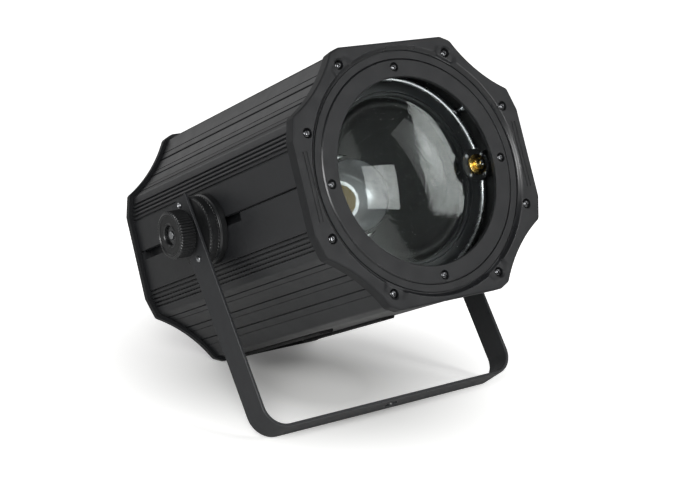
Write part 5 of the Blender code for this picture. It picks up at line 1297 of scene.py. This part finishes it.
# Which of the seven bars are lit for each digit: top, upper right, lower right, bottom, lower left,
# upper left, middle
DIGIT_BARS = {"0": (0, 1, 2, 3, 4, 5), "1": (1, 2)}


class PARCAN_OT_controls(bpy.types.Operator):
    """Builds the display with its digits, the four menu buttons and the fuse holder"""
    bl_idname = "par_can.controls"
    bl_label = "Controls"

    def execute(self, context):
        place = rear_face(DISPLAY_PLACE, CONTROLS_HEIGHT)
        window = extruded("window", [rectangle(0.058, 0.024, 0.0014)], -0.0097, 0.0007)
        window = carved("display_window", window, soft=0.0004)
        fit("display_window", window, "tinted_acrylic", place=place, stands_for="display")
        self.digits(place)
        self.buttons()
        self.fuse()
        return {"FINISHED"}

    def digits(self, place):
        height, width, bar = 0.0132, 0.0066, 0.0011
        parts = []
        for i, figure in enumerate("001"):
            centre = -0.0125 + i * 0.0125
            spots = [(0, height / 2, 0), (width / 2, height / 4, 1), (width / 2, -height / 4, 1),
                     (0, -height / 2, 0), (-width / 2, -height / 4, 1), (-width / 2, height / 4, 1),
                     (0, 0, 0)]
            for number in DIGIT_BARS[figure]:
                dx, dy, upright = spots[number]
                long = (height / 2 if upright else width) - 0.0007
                half = long / 2
                point = half - bar / 2
                shape = [(half, 0), (point, bar / 2), (-point, bar / 2), (-half, 0),
                         (-point, -bar / 2), (point, -bar / 2)]
                lean = 0.1 * dy
                turn = Matrix.Rotation(math.pi / 2 - 0.1 if upright else 0, 4, "Z")
                bar_mesh = extruded("bar", [shape], 0.0007, 0.00078)
                parts.append((bar_mesh, at(centre + dx + lean, dy) @ turn))
        fit("display_digits", merged("display_digits", *parts), LIT_SEGMENTS, place=place)

    def buttons(self):
        cap, flange = 0.0045, 0.0062
        profile = [(0, 0.0026), (0.0024, 0.0025), (0.0040, 0.0022), (cap, 0.0016), (cap, -0.0023),
                   (flange, -0.0023), (flange, -0.0043), (cap, -0.0043), (cap, -0.0087),
                   (0, -0.0087)]
        button = turned("button_cap", profile, 32)
        for i, x in enumerate(BUTTON_PLACES, 1):
            fit(f"menu_button_{i}_cap", button, "moulded_rubber", f"button_{i}",
                rear_face(x, CONTROLS_HEIGHT), f"menu_button_{i}")

    def fuse(self):
        place = rear_face(FUSE_PLACE, CONTROLS_HEIGHT)
        bore, flange, body = 0.0038, 0.0085, 0.0062
        profile = [(bore, -0.0102), (bore, 0.0018), (flange, 0.0018), (flange, 0.0003),
                   (body, 0.0003), (body, -0.0200), (0, -0.0200), (0, -0.0102)]
        holder = turned("fuse_holder", eased(profile, 0.0003, 2, closed=False), 48)
        fit("fuse_holder", holder, "moulded_nylon", place=place, stands_for="fuse_base")
        grip, stem, top = 0.0066, 0.0035, 0.0066
        profile = [(0, top), (0.0058, top), (grip, 0.0058), (grip, 0.0030), (grip, 0.0021),
                   (stem, 0.0021), (stem, -0.0082), (0, -0.0082)]
        cap = turned("fuse_cap_moulding", profile, 120, ribs=(24, 0.0003, 0.0025, 0.0060))
        cap = carved("fuse_cap_moulding", cap, block("slot", (0.010, 0.0014, 0.003), (0, 0, top)))
        fit("fuse_cap_moulding", cap, "moulded_nylon", "fuse", place, "fuse_cap")


class PARCAN_OT_sockets(bpy.types.Operator):
    """Builds the power and signal sockets with their flanges, contacts and latch"""
    bl_idname = "par_can.sockets"
    bl_label = "Sockets"

    face, floor = 0.0023, -0.0097

    def execute(self, context):
        looks = {"power_inlet": "moulded_blue_nylon", "power_outlet": "moulded_grey_nylon",
                 "dmx_inlet": "moulded_nylon", "dmx_outlet": "moulded_nylon"}
        places = []
        for name, x in SOCKETS.items():
            place = rear_face(x, SOCKETS_HEIGHT)
            power = name.startswith("power")
            cavity = 0.0098 if power else 0.0095
            parts = self.shell(cavity)
            if power:
                parts += self.power_core(cavity)
            elif name == "dmx_outlet":
                parts += self.insert()
            fit(f"{name}_body", merged(f"{name}_body", *parts), looks[name], place=place,
                stands_for=name)
            places += [place @ at(side * 0.0103, side * 0.0128, self.face - 0.0001)
                       for side in (-1, 1)]
        add_screws("socket_screw", pan_screw("socket_screw"), places)
        self.contacts()
        return {"FINISHED"}

    def shell(self, cavity):
        flange = extruded("flange", [rectangle(0.026, 0.031, 0.003), circle(cavity + 0.0004, 64)],
                          0.0003, self.face - 0.0001)
        flange = carved("flange", flange, soft=0.0003)
        profile = [(0, self.floor), (cavity, self.floor), (cavity, self.face - 0.0002),
                   (cavity + 0.0004, self.face + 0.0002), (cavity + 0.0011, self.face + 0.0002),
                   (cavity + 0.0014, self.face - 0.0003), (0.0117, 0.0), (0.0117, -0.026),
                   (0, -0.026)]
        return [(flange, Matrix()), (turned("well", profile, 64), Matrix())]

    def power_core(self, cavity):
        core = rod("core", 0.0045, self.face - 0.0004, self.floor, 48, 0.0004)
        slots = [block("slot", (0.0052, 0.0009, 0.006), (0, y, self.face))
                 for y in (-0.0015, 0.0015)]
        parts = [(carved("core", core, *slots), Matrix())]
        middle = (self.face + self.floor) / 2 - 0.0006
        key = block("key", (0.0016, 0.0026, 0.0105), (cavity - 0.0006, 0, middle), 0.0003)
        return parts + [(key, turn_z(degrees)) for degrees in (90, 215, 325)]

    def insert(self):
        insert = rod("insert", 0.0074, self.face - 0.0003, self.floor, 64, 0.0004)
        holes = []
        for place in round_axis(CONTACT_CIRCLE, CONTACT_ANGLES):
            holes.append(rod("hole", 0.00155, self.face + 0.002, self.floor + 0.001, 20))
            holes[-1].transform(place)
        return [(carved("insert", insert, *holes), Matrix())]

    def contacts(self):
        radius = 0.00125
        profile = [(0, 0.0003), (0.0006, 0.0001), (0.0011, -0.0006), (radius, -0.0014),
                   (radius, self.floor), (0, self.floor)]
        pins = copies("dmx_inlet_pins", turned("pin", profile, 24),
                      round_axis(CONTACT_CIRCLE, CONTACT_ANGLES))
        fit("dmx_inlet_pins", pins, "turned_brass",
            place=rear_face(SOCKETS["dmx_inlet"], SOCKETS_HEIGHT))
        y = 0.0122
        latch = block("latch", (0.007, 0.0036, 0.0021), (0, y, self.face + 0.00015), 0.0005, 3)
        ridge = block("ridge", (0.0052, 0.0004, 0.0003), (0, 0, self.face + 0.00125), 0.0001)
        parts = [(latch, Matrix())] + [(ridge, at(0, y + i * 0.0009)) for i in (-1, 0, 1)]
        fit("latch_plate", merged("latch_plate", *parts), "zinc_plated_steel", "latch",
            rear_face(SOCKETS["dmx_outlet"], SOCKETS_HEIGHT), "dmx_latch")


class PARCAN_OT_safety_eye(bpy.types.Operator):
    """Bends the steel eye for the safety cable and screws its plate on"""
    bl_idname = "par_can.safety_eye"
    bl_label = "Safety eye"

    def execute(self, context):
        curve = bpy.data.curves.new("eye_wire", "CURVE")
        curve.dimensions = "3D"
        wire = 0.0025
        curve.bevel_depth = wire
        curve.bevel_resolution = 5
        curve.use_fill_caps = True
        half, reach, base = 0.010, 0.0223, 0.0018
        bend = reach - half
        points = [(0, -half, base), (0, -half, (base + bend) / 2)]
        points += [(0, -half * math.cos(a), bend + half * math.sin(a) - wire)
                   for a in (math.pi * i / 20 for i in range(21))]
        points += [(0, half, (base + bend) / 2), (0, half, base)]
        spline = curve.splines.new("POLY")
        spline.points.add(len(points) - 1)
        for point, spot in zip(spline.points, points):
            point.co = (*spot, 1)
        eye = evaluated_mesh(linked("eye_wire", curve), "eye_wire")
        plate = extruded("eye_plate", [rectangle(0.012, 0.034, 0.003)], 0.0003, 0.0023)
        plate = carved("eye_plate", plate, soft=0.0004)
        place = rear_face(*EYE_PLACE)
        fit("safety_eye_steel", merged("safety_eye_steel", (eye, Matrix()), (plate, Matrix())),
            "zinc_plated_steel", place=place, stands_for="safety_eye")
        add_screws("eye_screw", pan_screw("eye_screw"),
                   [place @ at(0, side * 0.0146, 0.0023) for side in (-1, 1)])
        return {"FINISHED"}


class PARCAN_OT_pivots(bpy.types.Operator):
    """Builds the sliding discs, bolts, yoke discs and washers at both pivots"""
    bl_idname = "par_can.pivots"
    bl_label = "Pivots"

    def execute(self, context):
        teeth = context.scene.par_can_sizes.disc_teeth
        hole = 0.004
        inner, outer, radius = SLIDE_DISC
        profile = [(hole, outer), (radius - 0.0016, outer), (radius - 0.0012, outer - 0.0005),
                   (radius, outer - 0.0014), (radius, inner + 0.0004), (radius - 0.0004, inner),
                   (hole, inner)]
        slide = turned("slide_disc_moulding", eased(profile, 0.0003, 2), 120, closed=True)
        inner, outer, radius = YOKE_DISC
        rim, waist = radius - 0.0009, radius - 0.0003
        profile = [(hole, outer), (radius - 0.0018, outer), (rim, outer - 0.0006),
                   (rim, outer - 0.0014), (waist, outer - 0.0017), (waist, inner + 0.0021),
                   (rim, inner + 0.0018), (rim, inner), (hole, inner)]
        parts = [(turned("disc", eased(profile, 0.0003, 2), 160, closed=True), Matrix())]
        edge = 0.0004
        for low, high in ((inner + 0.0002, inner + 0.0016), (outer - 0.0018, outer - 0.0004)):
            profile = [(radius - 0.003, high), (radius - edge, high), (radius, high - edge),
                       (radius, low + edge), (radius - edge, low), (radius - 0.003, low)]
            toothed = turned("teeth", profile, 8 * teeth, closed=True,
                             ribs=(teeth, 0.0009, low, high))
            parts.append((toothed, Matrix()))
        yoke = merged("yoke_disc_moulding", *parts)
        # The teeth's flanks and the rims' lips take the much lighter nylon: a painted highlight on
        # them
        two_looks(yoke, "moulded_nylon", "rubbed_nylon",
                  lambda centre, normal: 0.15 < abs(normal.z) < 0.97)
        two_looks(slide, "moulded_nylon", "rubbed_nylon",
                  lambda centre, normal: 0.2 < normal.z < 0.97)
        tip, head_top, shank = 0.1615, 0.1167, 0.0037
        profile = [(0, tip), (shank, tip), (shank, head_top), (0, head_top)]
        bolt = turned("bolt", eased(profile, 0.0006, 3, closed=False), 40)
        head = block("head", (0.018, 0.020, 0.006), (0, 0, 0.114), 0.0008)
        bolt = merged("pivot_bolt_steel", (bolt, Matrix()), (head, Matrix()))
        washer = tube("pivot_washer_steel", hole, 0.011, 0.1435, 0.1423, 64)
        screw = pan_screw("disc_screw")
        for word, side in SIDES.items():
            sliding, swinging = PIVOT @ outward(side), YOKE @ outward(side)
            for node, ending, mesh, look, body, place in (
                    ("slide_disc", "moulding", slide, "moulded_nylon", "slider", sliding),
                    ("pivot_bolt", "steel", bolt, "zinc_plated_steel", "slider", sliding),
                    ("yoke_disc", "moulding", yoke, "moulded_nylon", "yoke_frame", swinging),
                    ("pivot_washer", "steel", washer, "zinc_plated_steel", "yoke_frame", swinging)):
                fit(f"{node}_{word}_{ending}", mesh, look, body, place, f"{node}_{word}")
            places = [swinging @ at(0, up * 0.027, 0.1420) for up in (-1, 1)]
            add_screws(f"disc_screw_{word}", screw, places, "yoke_frame")
        return {"FINISHED"}


class PARCAN_OT_yoke(bpy.types.Operator):
    """Bends the flat bar of the yoke, with rounded edges, round heads and its hole"""
    bl_idname = "par_can.yoke"
    bl_label = "Yoke"

    def execute(self, context):
        edge = context.scene.par_can_sizes.yoke_edge
        thick, wide = YOKE_THICKNESS / 2, YOKE_STRIP / 2
        corners = [(thick, wide), (-thick, wide), (-thick, -wide), (thick, -wide)]
        section = eased(corners, edge, 4)
        inset_section = [(a * (1 - edge / thick), b * (1 - edge / wide)) for a, b in section]
        middle_section = [((a + 2 * c) / 3, (b + 2 * d) / 3)
                          for (c, d), (a, b) in zip(section, inset_section)]
        half, bend = YOKE_HALF_WIDTH - thick, YOKE_BEND - thick
        steps = 16
        path = []
        for i in range(steps + 1):
            angle = math.pi / 2 * i / steps
            point = (-half + bend - bend * math.cos(angle),
                     -YOKE_LENGTH + YOKE_BEND - bend * math.sin(angle))
            path.append((point, (-math.cos(angle), -math.sin(angle))))
        path += [((-x, y), (-nx, ny)) for (x, y), (nx, ny) in reversed(path)]
        bm = bmesh.new()

        def head(x, normal, shape, drop):
            reach = YOKE_HEAD_RADIUS ** 2
            return [bm.verts.new((x + normal * a, math.sqrt(reach - b * b) - drop, b))
                    for a, b in shape]

        ends = ((inset_section, 0), (middle_section, 0.18 * edge), (section, edge))
        rows = [head(-half, -1, shape, drop) for shape, drop in ends]
        for (x, y), (nx, ny) in path:
            rows.append([bm.verts.new((x + nx * a, y + ny * a, b)) for a, b in section])
        rows += [head(half, 1, shape, drop) for shape, drop in reversed(ends)]
        skin(bm, rows, caps=True)
        bar = finish_mesh(bm, "yoke_bar")
        radius, lip, under = 0.0065, 0.0004, -YOKE_THICKNESS
        profile = [(0, 0.004), (radius + lip + 0.004, 0.004), (radius + lip, 0), (radius, -lip),
                   (radius, under + lip), (radius + lip, under),
                   (radius + lip + 0.004, under - 0.004), (0, under - 0.004)]
        cutter = turned("bar_hole", profile, 64)
        cutter.transform(at(0, -YOKE_LENGTH) @ Matrix.Rotation(math.pi / 2, 4, "X"))
        bar = carved("yoke_bar", bar, cutter)
        # The edges take the lighter, glossier coat: rubbed smoothness, and a painted highlight
        # along them
        two_looks(bar, "powder_coated_steel", "rubbed_powder_coat",
                  lambda centre, normal: 0.15 < abs(normal.z) < 0.97)
        fit("yoke_bar", bar, "powder_coated_steel", "yoke_frame", YOKE, "yoke")
        return {"FINISHED"}


class PARCAN_OT_knobs(bpy.types.Operator):
    """Moulds the two ribbed clamping knobs round their steel inserts"""
    bl_idname = "par_can.knobs"
    bl_label = "Clamping knobs"

    def execute(self, context):
        sizes = context.scene.par_can_sizes
        face, start, radius = KNOB_FACE, KNOB_BODY, KNOB_RADIUS
        pocket = face - 0.006
        profile = [(0.004, pocket), (0.009, pocket), (0.009, face - 0.0010),
                   (0.0096, face - 0.0002), (0.0106, face - 0.0002), (0.0112, face - 0.0008),
                   (radius - 0.0046, face - 0.0008), (radius - 0.0040, face),
                   (radius - 0.0028, face), (radius - 0.0018, face - 0.0004),
                   (radius - 0.0009, face - 0.0010), (radius - 0.0002, face - 0.0018),
                   (radius, face - 0.0030), (radius, start + 0.0024),
                   (radius - 0.0003, start + 0.0011), (radius - 0.0012, start + 0.0003),
                   (radius - 0.0024, start), (0.0106, start), (0.010, start - 0.0005),
                   (0.010, KNOB_START + 0.0004), (0.0096, KNOB_START), (0.004, KNOB_START)]
        knob = turned("clamp_knob_moulding", profile, sizes.knob_ribs * 8, closed=True,
                      ribs=(sizes.knob_ribs, sizes.knob_rib_depth, start + 0.0002, face - 0.0002))
        # The knob's slopes and lips take the much lighter nylon: a painted sheen on them
        two_looks(knob, "moulded_nylon", "rubbed_nylon", lambda centre, normal:
                  0.2 < normal.z < 0.97 and math.hypot(centre.x, centre.y) > 0.009)
        insert = tube("knob_insert_steel", 0.004, 0.0087, face - 0.0031, face - 0.0057, 48, 0.0004)
        for word, side in SIDES.items():
            for node, ending, mesh, look in (
                    ("clamp_knob", "moulding", knob, "moulded_nylon"),
                    ("knob_insert", "steel", insert, "black_nickel_steel")):
                fit(f"{node}_{word}_{ending}", mesh, look, f"knob_{word}", YOKE @ outward(side),
                    f"{node}_{word}")
        return {"FINISHED"}


# Studio

# Direction of each softbox seen from the lens, in degrees round from the front and up, its width
# and height, and its roll in degrees, as its reflections in the lens show
SOFTBOXES = {
    "key_softbox": (26.4, 26.2, 0.45, 0.49, -18), "fill_softbox": (61.5, 27.0, 0.65, 0.73, -8),
    "side_softbox": (-48.0, 27.0, 0.70, 0.90, 0),
}
SOFTBOX_DISTANCE = 1.6
CAMERA_PLACE, CAMERA_TURN = (-0.94909, -1.31034, 0.6141), (74.0028, -1.3324, -36.39)
CAMERA_SHIFT = -0.02357


class PARCAN_OT_studio(bpy.types.Operator):
    """Sets up the camera, three softboxes, the room's light and a white floor"""
    bl_idname = "par_can.studio"
    bl_label = "Studio"

    def execute(self, context):
        studio = context.scene.par_can_studio
        camera = linked("camera", bpy.data.cameras.new("camera"))
        camera.location = CAMERA_PLACE
        camera.rotation_euler = [math.radians(a) for a in CAMERA_TURN]
        camera.data.lens = studio.lens
        camera.data.sensor_width = 36
        camera.data.shift_y = CAMERA_SHIFT
        camera.data.clip_end = 50
        context.scene.camera = camera
        self.softboxes(studio)
        self.room(studio.room_level)
        self.floor()
        context.scene.view_settings.view_transform = "Standard"
        return {"FINISHED"}

    def softboxes(self, studio):
        """Each is brightest where its bulb stands, and falls off towards its edges."""
        target = BODY @ Vector((0, 0, -0.03))
        for name, (around, up, width, height, roll) in SOFTBOXES.items():
            lamp = bpy.data.lights.new(name, "AREA")
            lamp.shape = "RECTANGLE"
            lamp.size, lamp.size_y = width, height
            lamp.energy = getattr(studio, name.replace("softbox", "power"))
            tree = emptied(lamp)
            across = add(tree, "ShaderNodeNewGeometry").outputs["Parametric"]
            spot = add(tree, "ShaderNodeVectorMath", {0: across, 1: (0.5, 0.5, 0.0)},
                       operation="DISTANCE").outputs["Value"]
            level = add(tree, "ShaderNodeMapRange", {"Value": spot, "From Max": 0.55,
                                                     "To Min": 1.25, "To Max": 0.55},
                        interpolation_type="SMOOTHSTEP")
            bulb = add(tree, "ShaderNodeMapRange", {"Value": spot, "From Max": 0.16,
                                                    "To Min": 1.0, "To Max": 0.0},
                       interpolation_type="SMOOTHERSTEP")
            total = add(tree, "ShaderNodeMath", {0: level, 1: bulb}, operation="ADD")
            glow = add(tree, "ShaderNodeEmission", {"Strength": total})
            add(tree, "ShaderNodeOutputLight", {"Surface": glow})
            softbox = linked(name, lamp)
            a, e = math.radians(around), math.radians(up)
            direction = Vector((math.sin(a) * math.cos(e), -math.cos(a) * math.cos(e),
                                math.sin(e)))
            softbox.location = target + direction * SOFTBOX_DISTANCE
            turn = Matrix.Rotation(math.radians(roll), 3, "Z")
            facing = direction.to_track_quat("Z", "Y").to_matrix()
            softbox.rotation_euler = (facing @ turn).to_euler()

    def room(self, front_level):
        """White to the camera, and for the object bright walls and a ceiling in a dim room."""
        world = bpy.data.worlds.new("studio_room")
        bpy.context.scene.world = world
        tree = emptied(world)
        around = add(tree, "ShaderNodeTexCoord").outputs["Generated"]
        level = add(tree, "ShaderNodeLightPath").outputs["Is Camera Ray"]
        # towards each wall: where its light starts and is full, and its least and most brightness
        for towards, start, full, least, most in (
                ((-0.45, 0.88, 0.15), 0.66, 0.88, front_level, 0.8),
                ((0.94, 0.32, 0.10), 0.70, 0.95, 0.0, 0.5), ((0, 0, 1), 0.55, 0.95, 0.0, 0.08)):
            facing = add(tree, "ShaderNodeVectorMath", {0: around, 1: towards},
                         operation="DOT_PRODUCT").outputs["Value"]
            wall = add(tree, "ShaderNodeMapRange", {"Value": facing, "From Min": start,
                                                    "From Max": full, "To Min": least,
                                                    "To Max": most},
                       interpolation_type="SMOOTHSTEP")
            level = add(tree, "ShaderNodeMath", {0: wall, 1: level}, operation="MAXIMUM")
        shown = add(tree, "ShaderNodeBackground", {"Color": (1, 1, 1, 1), "Strength": level})
        add(tree, "ShaderNodeOutputWorld", {"Surface": shown})

    def floor(self):
        """White paper that glows, more for the camera than for the lamp, and less in an oval pool
        round the lamp, which paints its shadow there.
        """
        bm = bmesh.new()
        bmesh.ops.create_grid(bm, x_segments=1, y_segments=1, size=6.0)
        mesh = finish_mesh(bm, "floor")
        linked("floor", mesh)
        look = bpy.data.materials.new("white_paper_sweep")
        tree = emptied(look)
        path = add(tree, "ShaderNodeLightPath")
        place = add(tree, "ShaderNodeTexCoord").outputs["Object"]
        # An oval pool round the body and yoke where the glow drops: a painted shadow on the floor
        scaled = add(tree, "ShaderNodeMapping", {"Vector": place, "Location": (0.04, 0.0, 0.0),
                                                 "Scale": (4.0, 2.857, 0.0)})
        away = add(tree, "ShaderNodeVectorMath", {0: scaled}, operation="LENGTH").outputs["Value"]
        glow_beyond_painted_shadow = add(tree, "ShaderNodeMapRange", {"Value": away, "From Min": 0.18, "From Max": 0.98,
                                                "To Min": 0.02, "To Max": 1.0})
        through = add(tree, "ShaderNodeMath", {0: path.outputs["Is Camera Ray"],
                                               1: path.outputs["Is Transmission Ray"]},
                      operation="MAXIMUM")
        bounced = add(tree, "ShaderNodeMath", {0: path.outputs["Is Diffuse Ray"], 1: 0.8},
                      operation="MULTIPLY")
        share = add(tree, "ShaderNodeMath", {0: through, 1: bounced}, operation="MAXIMUM")
        lift = add(tree, "ShaderNodeMath", {0: glow_beyond_painted_shadow, 1: share}, operation="MULTIPLY")
        paper = add(tree, "ShaderNodeBsdfDiffuse", {"Color": tone("#f2f2f0")})
        glow = add(tree, "ShaderNodeEmission", {"Color": (1, 1, 1, 1), "Strength": lift})
        both = add(tree, "ShaderNodeAddShader", {0: paper, 1: glow})
        add(tree, "ShaderNodeOutputMaterial", {"Surface": both})
        mesh.materials.append(look)


class PARCAN_PT_pieces(bpy.types.Panel):
    """Lists the pieces in the order in which they are built"""
    bl_label = "LED par can"
    bl_idname = "PARCAN_PT_pieces"
    bl_space_type = "VIEW_3D"
    bl_region_type = "UI"
    bl_category = "Par Can"

    def draw(self, context):
        column = self.layout.column(align=True)
        for operator in OPERATORS:
            column.operator(operator.bl_idname)
        for group in GROUPS:
            settings = getattr(context.scene, group)
            box = self.layout.box()
            for name in settings.__annotations__:
                box.prop(settings, name)


OPERATORS = (
    PARCAN_OT_studio, PARCAN_OT_kept_parts, PARCAN_OT_housing, PARCAN_OT_rest_strips,
    PARCAN_OT_front_bezel, PARCAN_OT_lens_ring, PARCAN_OT_barrel, PARCAN_OT_zoom_carriage,
    PARCAN_OT_lead_screw, PARCAN_OT_lamp, PARCAN_OT_fan, PARCAN_OT_rear_bezel, PARCAN_OT_rear_panel,
    PARCAN_OT_controls, PARCAN_OT_sockets, PARCAN_OT_safety_eye, PARCAN_OT_pivots, PARCAN_OT_yoke,
    PARCAN_OT_knobs,
)
GROUPS = {"par_can_sizes": ParCanSizes, "par_can_colours": ParCanColours,
          "par_can_studio": ParCanStudio}


def register():
    for group in GROUPS.values():
        bpy.utils.register_class(group)
    for name, group in GROUPS.items():
        setattr(bpy.types.Scene, name, bpy.props.PointerProperty(type=group))
    for operator in OPERATORS:
        bpy.utils.register_class(operator)
    bpy.utils.register_class(PARCAN_PT_pieces)


def unregister():
    bpy.utils.unregister_class(PARCAN_PT_pieces)
    for operator in reversed(OPERATORS):
        bpy.utils.unregister_class(operator)
    for name, group in GROUPS.items():
        delattr(bpy.types.Scene, name)
        bpy.utils.unregister_class(group)


def main():
    register()
    for operator in OPERATORS:
        family, name = operator.bl_idname.split(".")
        getattr(getattr(bpy.ops, family), name)()


if __name__ == "__main__":
    main()
